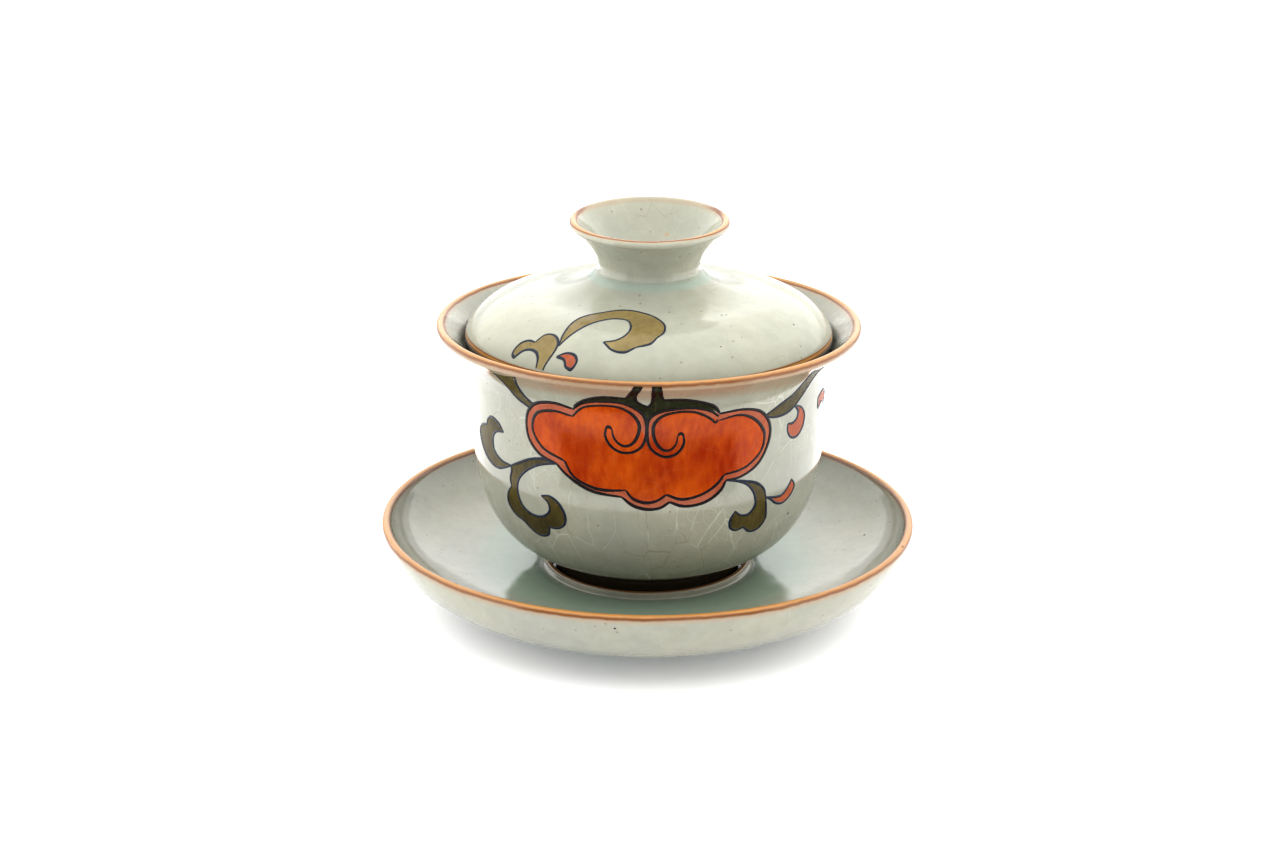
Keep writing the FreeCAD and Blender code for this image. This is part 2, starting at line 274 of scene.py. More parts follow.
# What is filled in on the bowl, lowest first: piece, paint, outline and how many layers lie under it.
BOWL_SHAPES = [
    ("flower_edge", "coral", FLOWER_EDGE, 0),
    ("flower_heart", "orange", FLOWER_HEART, 1),
    ("calyx", "leaf_green", CALYX, 2),
    ("left_leaf", "olive", LEFT_LEAF, 0),
    ("left_scroll", "olive", LEFT_SCROLL, 0),
    ("left_hook", "olive", LEFT_HOOK, 0),
    ("right_leaf", "olive", RIGHT_LEAF, 0),
    ("right_drop", "coral", RIGHT_DROP, 0),
    ("right_hook", "olive", RIGHT_HOOK, 0),
    ("right_tail", "coral", RIGHT_TAIL, 0),
    ("far_leaf", "coral", FAR_LEAF, 0),
]
# The strokes that are drawn in ink; a stroke that ends at a lip or under another shape has none.
FLOWER_LINES = [*FLOWER_EDGE[:5], *FLOWER_HEART[:5], *LEFT_CURL, *RIGHT_CURL,
                *CALYX[:2], *CALYX[3:5], *CALYX[6:8]]
LEAF_LINES = [LEFT_LEAF[0], LEFT_LEAF[2], *LEFT_SCROLL, *LEFT_HOOK, RIGHT_LEAF[0], *RIGHT_LEAF[2:],
              *RIGHT_DROP, *RIGHT_HOOK, *RIGHT_TAIL, *FAR_LEAF]

# The lid's spray is drawn in plan: (to the right, away from the front) in millimetres from the axis.
LID_HOOK = [
    [(-18.3, -30.3), (-17.4, -27), (-15.2, -22.4), (-12.6, -19.5), (-9.6, -18.5), (-5.6, -18),
     (-1.6, -19.3),
     (1.4, -21.6), (3.2, -25.8), (3, -29.2), (1.6, -31.1)],
    [(1.6, -31.1), (0.4, -32.8), (-2.6, -33.8)],
    [(-2.6, -33.8), (-4.9, -34.8), (-7.4, -34), (-9.2, -31.7)],
    [(-9.2, -31.7), (-6.6, -31.5), (-4.6, -29.9), (-3.7, -27), (-4.6, -23), (-7.4, -22.1), (-11, -23.8),
     (-14.4, -26.6), (-18.3, -30.3)],
]
LID_LEAF = [
    [(-21.5, -33.0), (-19.2, -31.2), (-18.5, -29.4), (-19.3, -27), (-21.1, -26), (-23.3, -27.1)],
    [(-23.3, -27.1), (-24.6, -25.9), (-26.4, -25.5), (-28, -26.4), (-27.6, -27.4)],
    [(-27.6, -27.4), (-25.2, -27.7), (-23.2, -29.2), (-22.6, -30.8), (-22.9, -32.0)],
    [(-22.9, -32.0), (-21.5, -33.0)],
]
LID_DROP = [
    [(-18.7, -32.4), (-16.6, -32.5), (-14.9, -33.6), (-14.6, -34.8), (-15.6, -35.5), (-16.8, -34.8)],
    [(-16.8, -34.8), (-17.2, -33.5), (-18.7, -32.4)],
]
LID_SHAPES = [
    ("spray_hook", "pale_olive", LID_HOOK, 0),
    ("spray_leaf", "pale_olive", LID_LEAF, 0),
    ("spray_drop", "coral", LID_DROP, 0),
]
LID_LINES = [*LID_HOOK, *LID_LEAF[:3], *LID_DROP]
# The outline strokes on the lid are thinner than on the bowl.
LID_LINE_SCALE = 0.85

# The table slot that each paint belongs to.
PAINT_SLOTS = {"coral": "coral_enamel", "orange": "orange_enamel", "olive": "olive_enamel",
               "leaf_green": "olive_enamel", "pale_olive": "olive_enamel"}
# How hard the brush presses at the ends of a stroke, how much harder in the middle, and how it wavers.
PRESS_ENDS = 0.62
PRESS_MIDDLE = 0.4
PRESS_WAVER = 0.08
WAVERS_ALONG = 9
WAVER_CHANGE = 2.4
# How deep a slab of enamel goes into the glaze, in metres.
SLAB_DEPTH = 0.00006
# Share of the fill spacing that is kept clear along an outline.
CLEAR_EDGE = 0.45


def smooth(points, steps=8):
    """A rounded line through a few points, as a list of points close together."""
    knots = [Vector(point) for point in points]
    if len(knots) < 3:
        return knots
    before = 2 * knots[0] - knots[1]
    after = 2 * knots[-1] - knots[-2]
    chain = [before, *knots, after]
    line = []
    for a, b, c, d in zip(chain, chain[1:], chain[2:], chain[3:]):
        gaps = [max((q - p).length, 1e-6) ** 0.5 for p, q in ((a, b), (b, c), (c, d))]
        leave = (b - a) / gaps[0] - (c - a) / (gaps[0] + gaps[1]) + (c - b) / gaps[1]
        arrive = (c - b) / gaps[1] - (d - b) / (gaps[1] + gaps[2]) + (d - c) / gaps[2]
        leave *= gaps[1]
        arrive *= gaps[1]
        for step in range(steps):
            t = step / steps
            line.append(b * (2 * t ** 3 - 3 * t ** 2 + 1) + leave * (t ** 3 - 2 * t ** 2 + t)
                        + c * (3 * t ** 2 - 2 * t ** 3) + arrive * (t ** 3 - t ** 2))
    line.append(knots[-1])
    return line


# ---------------------------------------------------------------- node trees


# How far the throwing rings climb on a flat part, against an upright wall.
RING_SLANT = 0.7
# Nearer the axis than this, a pot runs true.
TRUE_MIDDLE = 0.012
SPECK_RARITY = 3.0
SPECK_THICKNESS = 0.12


def put(tree, kind, values=None, **settings):
    """Adds a node, sets its options and fills or joins its inputs, given by name or by number."""
    node = tree.nodes.new(kind)
    for name, value in settings.items():
        setattr(node, name, value)
    for key, value in (values or {}).items():
        socket = node.inputs[key]
        if isinstance(value, bpy.types.NodeSocket):
            tree.links.new(value, socket)
        else:
            socket.default_value = value
    return node


def calc(tree, operation, first, second=0.0, third=0.0):
    """One sum on numbers."""
    return put(tree, "ShaderNodeMath", {0: first, 1: second, 2: third}, operation=operation).outputs[0]


def plus(tree, first, second):
    """The sum of two numbers."""
    return calc(tree, "ADD", first, second)


def minus(tree, first, second):
    """The first number less the second."""
    return calc(tree, "SUBTRACT", first, second)


def times(tree, first, second):
    """The product of two numbers."""
    return calc(tree, "MULTIPLY", first, second)


def xyz(tree, x=0.0, y=0.0, z=0.0):
    """A vector from three numbers."""
    return put(tree, "ShaderNodeCombineXYZ", {0: x, 1: y, 2: z}).outputs[0]


def axes(tree, vector):
    """The three numbers in a vector."""
    return put(tree, "ShaderNodeSeparateXYZ", {0: vector}).outputs


def grey(tree, level):
    """A grey of the given level."""
    return put(tree, "ShaderNodeCombineColor", {0: level, 1: level, 2: level}).outputs[0]


def position(tree):
    """The position of each point."""
    return put(tree, "GeometryNodeInputPosition").outputs[0]


def vector_calc(tree, operation, first, second=(0, 0, 0)):
    """One sum on vectors."""
    return put(tree, "ShaderNodeVectorMath", {0: first, 1: second}, operation=operation).outputs[0]


def scaled(tree, vector, factor):
    """A vector times a number."""
    return put(tree, "ShaderNodeVectorMath", {0: vector, "Scale": factor}, operation="SCALE").outputs[0]


def ramped(tree, value, low, high, start=0.0, end=1.0):
    """Value mapped smoothly from the range low..high to start..end, and held there."""
    values = {"Value": value, "From Min": low, "From Max": high, "To Min": start, "To Max": end}
    return put(tree, "ShaderNodeMapRange", values, interpolation_type="SMOOTHSTEP").outputs[0]


def new_geometry_tree(name, inputs):
    """A Geometry Nodes tree with named inputs; returns the tree and its group input node."""
    tree = bpy.data.node_groups.new(name, "GeometryNodeTree")
    for label, kind, default in inputs:
        socket = tree.interface.new_socket(label, in_out="INPUT", socket_type=f"NodeSocket{kind}")
        if default is not None:
            socket.default_value = default
    tree.interface.new_socket("Geometry", in_out="OUTPUT", socket_type="NodeSocketGeometry")
    return tree, tree.nodes.new("NodeGroupInput")


def finish_geometry_tree(tree, geometry, given):
    """Realizes the instances, sets the material and joins the result to the group output."""
    real = put(tree, "GeometryNodeRealizeInstances", {"Geometry": geometry})
    painted = put(tree, "GeometryNodeSetMaterial",
                  {"Geometry": real.outputs[0], "Material": given.outputs["Material"]})
    put(tree, "NodeGroupOutput", {"Geometry": painted.outputs[0]})


def wheel_tree():
    """Turns an outline round the axis, with the slight unevenness of a pot thrown by hand."""
    tree, given = new_geometry_tree("Turned on the Wheel", [
        ("Outline", "Geometry", None), ("Steps Round", "Int", 240), ("Wobble", "Float", 0.0001),
        ("Wobble Size", "Float", 0.04), ("Throwing Rings", "Float", 0.00001),
        ("Ring Spacing", "Float", 0.004),
        ("Lean", "Float", 0.0), ("Lean From", "Float", 0.076), ("Lean To", "Float", 0.086),
        ("Seed", "Float", 1.0), ("Material", "Material", None)])
    section = put(tree, "GeometryNodeCurveToMesh", {"Curve": given.outputs["Outline"]}).outputs[0]
    rows = put(tree, "GeometryNodeAttributeDomainSize", {"Geometry": section}).outputs["Point Count"]
    columns = plus(tree, given.outputs["Steps Round"], 1.0)
    grid = put(tree, "GeometryNodeMeshGrid",
               {"Size X": 1.0, "Size Y": 1.0, "Vertices X": columns, "Vertices Y": rows}).outputs["Mesh"]
    place = axes(tree, position(tree))
    last_row = minus(tree, rows, 1.0)
    row = calc(tree, "ROUND", times(tree, plus(tree, place["Y"], 0.5), last_row))
    around = times(tree, plus(tree, place["X"], 0.5), FULL_TURN)
    spot = put(tree, "GeometryNodeSampleIndex", {"Geometry": section, "Value": position(tree), "Index": row},
               data_type="FLOAT_VECTOR", domain="POINT")
    spot = axes(tree, spot.outputs[0])
    distance, height = spot["X"], spot["Z"]
    outwards = xyz(tree, calc(tree, "COSINE", around), calc(tree, "SINE", around))
    even = vector_calc(tree, "ADD", scaled(tree, outwards, distance), xyz(tree, z=height))
    turns_per_metre = calc(tree, "DIVIDE", 1.0, given.outputs["Wobble Size"])
    drift = put(tree, "ShaderNodeTexNoise",
                {"Vector": even, "W": given.outputs["Seed"], "Scale": turns_per_metre, "Detail": 1.0},
                noise_dimensions="4D").outputs[0]
    drift = times(tree, minus(tree, drift, 0.5), given.outputs["Wobble"])
    phase = calc(tree, "DIVIDE", plus(tree, height, times(tree, distance, RING_SLANT)),
                 given.outputs["Ring Spacing"])
    rings = times(tree, calc(tree, "SINE", times(tree, phase, FULL_TURN)),
                 given.outputs["Throwing Rings"])
    away = ramped(tree, distance, 0.0, TRUE_MIDDLE)
    shift = times(tree, plus(tree, drift, rings), away)
    uneven = vector_calc(tree, "ADD", even, scaled(tree, outwards, shift))
    bent = put(tree, "ShaderNodeMapRange", {
        "Value": height, "From Min": given.outputs["Lean From"], "From Max": given.outputs["Lean To"]})
    drop = times(tree, times(tree, bent.outputs[0], given.outputs["Lean"]),
                times(tree, distance, calc(tree, "SINE", around)))
    uneven = vector_calc(tree, "ADD", uneven, xyz(tree, z=drop))
    pot = put(tree, "GeometryNodeSetPosition", {"Geometry": grid, "Position": uneven}).outputs[0]
    closed = put(tree, "GeometryNodeMergeByDistance", {"Geometry": pot, "Distance": 1e-6}).outputs[0]
    rounded = put(tree, "GeometryNodeSetShadeSmooth", {"Geometry": closed, "Shade Smooth": True}).outputs[0]
    finish_geometry_tree(tree, rounded, given)
    return tree


def paint_tree():
    """Bends a flat drawing onto a pot: brush strokes get their body, and all is laid on the glaze.

    In the drawing X runs along the wall, Y up it and Z out of it; on a lid X and Y are its plan.
    """
    tree, given = new_geometry_tree("Painted On", [
        ("Drawing", "Geometry", None), ("Pot", "Object", None), ("From Above", "Bool", False),
        ("Wrap Radius", "Float", 0.0385), ("Turn", "Float", 0.0), ("Line Width", "Float", 0.0008),
        ("Line Height", "Float", 0.00015), ("Reach", "Float", 0.08), ("Material", "Material", None)])
    strokes = put(tree, "GeometryNodeSetCurveNormal", {"Curve": given.outputs["Drawing"]}, mode="Z_UP")
    tip = put(tree, "GeometryNodeCurvePrimitiveCircle", {"Resolution": 10, "Radius": 0.5}).outputs["Curve"]
    flat = xyz(tree, given.outputs["Line Width"], given.outputs["Line Height"], 1.0)
    tip = put(tree, "GeometryNodeTransform", {"Geometry": tip, "Scale": flat}).outputs[0]
    beside_line = calc(tree, "ABSOLUTE", axes(tree, position(tree))["X"])
    across = calc(tree, "DIVIDE", beside_line, given.outputs["Line Width"])
    tip = put(tree, "GeometryNodeStoreNamedAttribute", {"Geometry": tip, "Name": "across", "Value": across},
              data_type="FLOAT", domain="POINT").outputs[0]
    pressure = put(tree, "GeometryNodeInputRadius").outputs[0]
    lines = put(tree, "GeometryNodeCurveToMesh", {
        "Curve": strokes.outputs[0], "Profile Curve": tip, "Scale": pressure, "Fill Caps": True}).outputs[0]
    lines = put(tree, "GeometryNodeSetShadeSmooth", {"Geometry": lines, "Shade Smooth": True}).outputs[0]
    parts = put(tree, "GeometryNodeSeparateComponents", {"Geometry": given.outputs["Drawing"]})
    drawing = tree.nodes.new("GeometryNodeJoinGeometry")
    tree.links.new(lines, drawing.inputs[0])
    tree.links.new(parts.outputs["Mesh"], drawing.inputs[0])

    place = axes(tree, position(tree))
    angle = plus(tree, calc(tree, "DIVIDE", place["X"], given.outputs["Wrap Radius"]),
                 given.outputs["Turn"])
    outwards = xyz(tree, calc(tree, "SINE", angle), times(tree, calc(tree, "COSINE", angle), -1.0))
    level = xyz(tree, z=place["Y"])
    beside = vector_calc(tree, "ADD", scaled(tree, outwards, given.outputs["Reach"]), level)
    inwards = scaled(tree, outwards, -1.0)
    plan = xyz(tree, place["X"], place["Y"], given.outputs["Reach"])
    above = put(tree, "ShaderNodeVectorRotate",
                {"Vector": plan, "Axis": (0, 0, 1), "Angle": given.outputs["Turn"]}).outputs[0]
    start = put(tree, "ShaderNodeMix", {0: given.outputs["From Above"], 4: beside, 5: above},
                data_type="VECTOR")
    way = put(tree, "ShaderNodeMix", {0: given.outputs["From Above"], 4: inwards, 5: (0, 0, -1)},
              data_type="VECTOR")
    pot = put(tree, "GeometryNodeObjectInfo", {"Object": given.outputs["Pot"]}).outputs["Geometry"]
    touch = put(tree, "GeometryNodeRaycast", {
        "Target Geometry": pot, "Attribute": put(tree, "GeometryNodeInputNormal").outputs[0],
        "Source Position": start.outputs[1], "Ray Direction": way.outputs[1], "Ray Length": 1.0},
        data_type="FLOAT_VECTOR")
    lean = vector_calc(tree, "NORMALIZE", touch.outputs["Attribute"])
    laid = vector_calc(tree, "ADD", touch.outputs["Hit Position"], scaled(tree, lean, place["Z"]))
    bent = put(tree, "GeometryNodeSetPosition", {"Geometry": drawing.outputs[0], "Position": laid})
    finish_geometry_tree(tree, bent.outputs[0], given)
    return tree


def speck_tree():
    """Scatters small flat iron specks over a glazed pot and leaves only the specks."""
    tree, given = new_geometry_tree("Iron Specks", [
        ("Pot", "Geometry", None), ("Specks per Area", "Float", 2500.0), ("Seed", "Int", 3),
        ("Smallest", "Float", 0.00006), ("Largest", "Float", 0.0003), ("Material", "Material", None)])
    spots = put(tree, "GeometryNodeDistributePointsOnFaces",
                {"Mesh": given.outputs["Pot"], "Density": given.outputs["Specks per Area"],
                 "Seed": given.outputs["Seed"]})
    dot = put(tree, "GeometryNodeMeshIcoSphere", {"Radius": 1.0, "Subdivisions": 2}).outputs["Mesh"]
    chance = put(tree, "FunctionNodeRandomValue", {"Seed": given.outputs["Seed"]},
                 data_type="FLOAT").outputs[1]
    rare = calc(tree, "POWER", chance, SPECK_RARITY)
    size = put(tree, "ShaderNodeMapRange", {
        "Value": rare, "To Min": given.outputs["Smallest"], "To Max": given.outputs["Largest"]}).outputs[0]
    thin = xyz(tree, size, size, times(tree, size, SPECK_THICKNESS))
    specks = put(tree, "GeometryNodeInstanceOnPoints",
                 {"Points": spots.outputs["Points"], "Instance": dot, "Rotation": spots.outputs["Rotation"],
                  "Scale": thin}).outputs[0]
    finish_geometry_tree(tree, specks, given)
    return tree


def grown(base, tree, values):
    """Runs a node tree on an object and returns the plain mesh that comes out; the object is removed."""
    modifier = base.modifiers.new(tree.name, "NODES")
    modifier.node_group = tree
    for item in tree.interface.items_tree:
        if item.item_type == "SOCKET" and item.in_out == "INPUT" and item.name in values:
            modifier[item.identifier] = values[item.name]
    bpy.context.scene.collection.objects.link(base)
    graph = bpy.context.evaluated_depsgraph_get()
    mesh = bpy.data.meshes.new_from_object(base.evaluated_get(graph), depsgraph=graph)
    bpy.data.objects.remove(base)
    if not mesh.polygons:
        raise RuntimeError(f"{tree.name} made nothing")
    return mesh


def piece(name, mesh, body, slot, *nodes):
    """Puts a finished mesh in the scene, riding on its body and standing for its CAD nodes."""
    thing = bpy.data.objects.new(name, mesh)
    mesh.name = name
    bpy.context.scene.collection.objects.link(thing)
    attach(thing, body)
    if nodes:
        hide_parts(*nodes)
    return thing


# ---------------------------------------------------------------- materials


GLAZE_IOR = 1.52
LID_IOR = 1.3
ENAMEL_IOR = 1.48
INK_IOR = 1.36
# How many waves of each unevenness go into a metre.
CLOUDS = 38.0
MOTTLES = 260.0
RAGGED_EDGES = 420.0
DRIFTS = 60.0
FINE_PATCHES = 70.0
PALE_PATCHES = 120.0
PEEL = 500.0
SWELLS = 110.0
ENAMEL_DRIFTS = 90.0
BRUSH_MARKS = 720.0
INK_PATCHES = 700.0
# Below 1, the cells of the crazing are taller than they are wide.
COARSE_STRETCH = 0.38
FINE_STRETCH = 0.8
ENAMEL_CRAZE_SIZE = 0.0046
ENAMEL_CRAZE_WIDTH = 0.0001
ENAMEL_CRAZE_COLOUR = (0.8, 0.45, 0.25)
# Dust in the glaze: the size of its cells, the share of them with a grain, and a grain's radius in cells.
DUST_SIZE = 0.0021
DUST_SHARE = 0.22
DUST_RADIUS = 0.16
DUST_COLOUR = (0.16, 0.11, 0.06)
DAB_HALO = (0.45, 0.22, 0.09)
DAB_CORE = (0.12, 0.04, 0.012)
# Glaze pooled round the foot of the knob, made paler than the glaze as a painted highlight: partly painted
# highlight.
POOL_AND_HIGHLIGHT_ROUND_KNOB = (0.27, 0.38, 0.34)
UNDER_LIP = (0.24, 0.13, 0.06)
GLAZE_RELIEF = 0.00003
ENAMEL_RELIEF = 0.00002
FOOT_BLEND = 0.0002


def new_material(name):
    """An empty material with a Principled shader; returns the material, its tree and the shader."""
    material = bpy.data.materials.new(name)
    material.use_nodes = True
    tree = material.node_tree
    tree.nodes.clear()
    shader = put(tree, "ShaderNodeBsdfPrincipled")
    put(tree, "ShaderNodeOutputMaterial", {"Surface": shader.outputs[0]})
    return material, tree, shader


def noise(tree, where, scale, detail=2.0, roughness=0.5):
    """Soft noise, from 0 to 1."""
    values = {"Vector": where, "Scale": scale, "Detail": detail, "Roughness": roughness}
    return put(tree, "ShaderNodeTexNoise", values).outputs[0]


def mixed(tree, factor, first, second, blend="MIX"):
    """Two colours mixed."""
    def colour(value):
        return (*value, 1.0) if isinstance(value, tuple) and len(value) == 3 else value
    values = {0: factor, 6: colour(first), 7: colour(second)}
    return put(tree, "ShaderNodeMix", values, data_type="RGBA", blend_type=blend).outputs[2]


def object_place(tree):
    """Object coordinates, the distance from the axis and the height."""
    where = put(tree, "ShaderNodeTexCoord").outputs["Object"]
    x, y, height = axes(tree, where)
    distance = calc(tree, "SQRT", calc(tree, "MULTIPLY_ADD", x, x, times(tree, y, y)))
    return where, distance, height


def from_ring(tree, distance, height, ring):
    """How far a point is from a ring round the axis, in millimetres."""
    out = minus(tree, calc(tree, "DIVIDE", distance, MM), ring[0])
    up = minus(tree, calc(tree, "DIVIDE", height, MM), ring[1])
    return calc(tree, "SQRT", calc(tree, "MULTIPLY_ADD", out, out, times(tree, up, up)))


def crackle(tree, where, size, width, stretch):
    """Fine lines of crazing: 1 on a line and 0 between, in cells of about the given size."""
    bend = put(tree, "ShaderNodeTexNoise",
               {"Vector": where, "Scale": 0.6 / size, "Detail": 2.0}).outputs["Color"]
    bend = scaled(tree, vector_calc(tree, "SUBTRACT", bend, (0.5, 0.5, 0.5)), size * 0.5)
    bent = vector_calc(tree, "ADD", where, bend)
    bent = vector_calc(tree, "MULTIPLY", bent, (1.0, 1.0, stretch))
    cells = put(tree, "ShaderNodeTexVoronoi", {"Vector": bent, "Scale": 1 / size, "Randomness": 1.0},
                feature="DISTANCE_TO_EDGE")
    return ramped(tree, cells.outputs["Distance"], 0.0, width / size, 1.0, 0.0)


def specks(tree, where, size, amount, radius):
    """Tiny round spots: 1 on a spot; amount is the share of cells that hold one."""
    cells = put(tree, "ShaderNodeTexVoronoi", {"Vector": where, "Scale": 1 / size, "Randomness": 1.0})
    spot = ramped(tree, cells.outputs["Distance"], radius * 0.6, radius, 1.0, 0.0)
    pick = put(tree, "ShaderNodeSeparateColor", {0: cells.outputs["Color"]}).outputs[0]
    return times(tree, spot, calc(tree, "LESS_THAN", pick, amount))


# A ring of colour round the axis, such as thicker glaze or painted shade in a gap between parts: its
# (distance, height), how near its colour is full and how far off it is gone, in millimetres, the colour, and
# the share of it that shows.
Tint = namedtuple("Tint", "ring full gone colour strength")


def celadon(name, iron_line, tints=(), iron=1.0, crazing=1.0, dabs=(), foot=None, tone=1.0, ior=GLAZE_IOR):
    """Pale crackled celadon with an iron dressing on the lip.

    iron and crazing scale the width of the dressing and the strength of the craze lines. dabs are iron
    spots (point, radius), and foot is the height in metres that the bare clay of a foot reaches. A tone
    above 1 makes the glaze paler, as painted light on pieces lit from above, and ior sets how strongly it
    mirrors.
    """
    glaze = bpy.context.scene.gaiwan_glaze
    material, tree, shader = new_material(name)
    where, distance, height = object_place(tree)
    cloud = noise(tree, where, CLOUDS, 3.0)
    mottle = noise(tree, where, MOTTLES, 4.0, 0.6)
    base = mixed(tree, ramped(tree, cloud, 0.3, 0.7), tuple(glaze.celadon), tuple(glaze.celadon_warm))
    # A tone above 1 paints light in: the whole glaze comes out paler.
    tint = ramped(tree, mottle, 0.25, 0.8, 0.93 * tone, 1.04 * tone)
    base = mixed(tree, 1.0, base, grey(tree, tint), "MULTIPLY")
    ragged = minus(tree, noise(tree, where, RAGGED_EDGES, 3.0), 0.5)
    drifting = minus(tree, noise(tree, where, DRIFTS, 2.0), 0.5)

    coarse = crackle(tree, where, glaze.crackle_size, glaze.crackle_width, COARSE_STRETCH)
    fine = crackle(tree, where, glaze.crackle_size * 0.45, glaze.crackle_width * 0.7, FINE_STRETCH)
    patches = ramped(tree, noise(tree, where, FINE_PATCHES, 1.0), 0.4, 0.62)
    fine = times(tree, fine, times(tree, patches, 0.45))
    coarse = times(tree, coarse, ramped(tree, cloud, 0.35, 0.6, 0.25, 0.8))
    lines = calc(tree, "MAXIMUM", coarse, fine)
    pale = ramped(tree, noise(tree, where, PALE_PATCHES, 1.0), 0.45, 0.55)
    stain = mixed(tree, pale, tuple(glaze.crackle_grey), tuple(glaze.crackle_pale))
    base = mixed(tree, times(tree, lines, 0.6 * crazing), base, stain)

    dust = specks(tree, where, DUST_SIZE, DUST_SHARE, DUST_RADIUS)
    base = mixed(tree, times(tree, dust, 0.5), base, DUST_COLOUR)

    for ring, full, gone, colour, strength in tints:
        near = from_ring(tree, distance, height, ring)
        near = plus(tree, near, times(tree, drifting, (gone - full) * 0.6))
        base = mixed(tree, ramped(tree, near, full, gone, strength, 0.0), base, colour)
    from_crest = calc(tree, "DIVIDE", from_ring(tree, distance, height, iron_line), iron)
    from_crest = plus(tree, from_crest, times(tree, ragged, 0.2))
    from_crest = plus(tree, from_crest, times(tree, drifting, 0.35))
    width = glaze.iron_width
    halo = ramped(tree, from_crest, width, width * 1.7, 0.5, 0.0)
    core = ramped(tree, from_crest, width * 0.85, width * 1.15, 1.0, 0.0)
    worn = ramped(tree, from_crest, width * 0.5, width * 0.8, 0.0, 1.0)
    iron_colour = mixed(tree, worn, tuple(glaze.iron_light), tuple(glaze.iron))
    base = mixed(tree, halo, base, tuple(glaze.iron_fade))
    base = mixed(tree, core, base, iron_colour)

    for point, radius in dabs:
        far = put(tree, "ShaderNodeVectorMath", {0: where, 1: point}, operation="DISTANCE").outputs["Value"]
        far = plus(tree, far, times(tree, ragged, radius * 0.8))
        base = mixed(tree, ramped(tree, far, radius, radius * 2.4, 0.6, 0.0), base, DAB_HALO)
        base = mixed(tree, ramped(tree, far, radius * 0.7, radius, 1.0, 0.0), base, DAB_CORE)

    gloss = ramped(tree, mottle, 0.3, 0.7, 0.07, 0.12)
    gloss = plus(tree, gloss, times(tree, core, 0.03))
    if foot is not None:
        bare = ramped(tree, height, foot - FOOT_BLEND, foot + FOOT_BLEND, 1.0, 0.0)
        base = mixed(tree, bare, base, tuple(glaze.bare_clay))
        gloss = plus(tree, gloss, times(tree, bare, 0.6))
    tree.links.new(base, shader.inputs["Base Color"])
    tree.links.new(gloss, shader.inputs["Roughness"])
    shader.inputs["IOR"].default_value = ior
    peel = noise(tree, where, PEEL, 2.0)
    swell = noise(tree, where, SWELLS, 1.0)
    relief = calc(tree, "MULTIPLY_ADD", swell, 2.5, times(tree, peel, 0.25))
    relief = minus(tree, relief, times(tree, lines, 0.25))
    bump = put(tree, "ShaderNodeBump", {"Height": relief, "Strength": 1.0, "Distance": GLAZE_RELIEF})
    tree.links.new(bump.outputs[0], shader.inputs["Normal"])
    return material


def enamel(name, deep, bright):
    """Overglaze enamel laid on with a brush: thicker and darker in drifts and along the strokes."""
    material, tree, shader = new_material(name)
    where = put(tree, "ShaderNodeTexCoord").outputs["Object"]
    stretched = vector_calc(tree, "MULTIPLY", where, (1.0, 1.0, 0.35))
    drift = noise(tree, where, ENAMEL_DRIFTS, 3.0)
    strokes = noise(tree, stretched, BRUSH_MARKS, 3.0, 0.6)
    level = plus(tree, times(tree, drift, 0.65), times(tree, strokes, 0.35))
    colour = mixed(tree, ramped(tree, level, 0.28, 0.72), tuple(deep), tuple(bright))
    lines = crackle(tree, where, ENAMEL_CRAZE_SIZE, ENAMEL_CRAZE_WIDTH, 0.7)
    colour = mixed(tree, times(tree, lines, 0.07), colour, ENAMEL_CRAZE_COLOUR)
    tree.links.new(colour, shader.inputs["Base Color"])
    shader.inputs["IOR"].default_value = ENAMEL_IOR
    tree.links.new(ramped(tree, strokes, 0.3, 0.7, 0.09, 0.2), shader.inputs["Roughness"])
    relief = plus(tree, strokes, times(tree, drift, 2.0))
    bump = put(tree, "ShaderNodeBump", {"Height": relief, "Strength": 1.0, "Distance": ENAMEL_RELIEF})
    tree.links.new(bump.outputs[0], shader.inputs["Normal"])
    return material


def brush_ink(name, core, fringe):
    """Dark outline colour that bleeds blue into the glaze at its sides."""
    material, tree, shader = new_material(name)
    where = put(tree, "ShaderNodeTexCoord").outputs["Object"]
    across = put(tree, "ShaderNodeAttribute", attribute_name="across").outputs["Fac"]
    patchy = noise(tree, where, INK_PATCHES, 2.0)
    side = plus(tree, across, times(tree, minus(tree, patchy, 0.5), 0.25))
    colour = mixed(tree, ramped(tree, side, 0.34, 0.52), tuple(core), tuple(fringe))
    tree.links.new(colour, shader.inputs["Base Color"])
    shader.inputs["IOR"].default_value = INK_IOR
    tree.links.new(ramped(tree, patchy, 0.3, 0.7, 0.15, 0.3), shader.inputs["Roughness"])
    return material


def plain_matte(name, colour, glow=0.0):
    """A matte surface for the studio, faintly uneven."""
    material, tree, shader = new_material(name)
    where = put(tree, "ShaderNodeTexCoord").outputs["Object"]
    soft = ramped(tree, noise(tree, where, 3.0, 2.0), 0.3, 0.7, 0.985, 1.0)
    shaded = mixed(tree, 1.0, tuple(colour), grey(tree, soft), "MULTIPLY")
    tree.links.new(shaded, shader.inputs["Base Color"])
    shader.inputs["Roughness"].default_value = 0.9
    shader.inputs["Emission Color"].default_value = (0.95, 0.97, 1.0, 1.0)
    shader.inputs["Emission Strength"].default_value = glow
    return material


# ---------------------------------------------------------------- sizes and colours


def length(name, default, description):
    """A property for a length in metres."""
    return FloatProperty(name=name, description=description, default=default, unit="LENGTH", precision=5)


def colour(name, default, description):
    """A property for a colour."""
    return FloatVectorProperty(name=name, description=description, default=default, subtype="COLOR",
                               size=3, min=0, max=1)


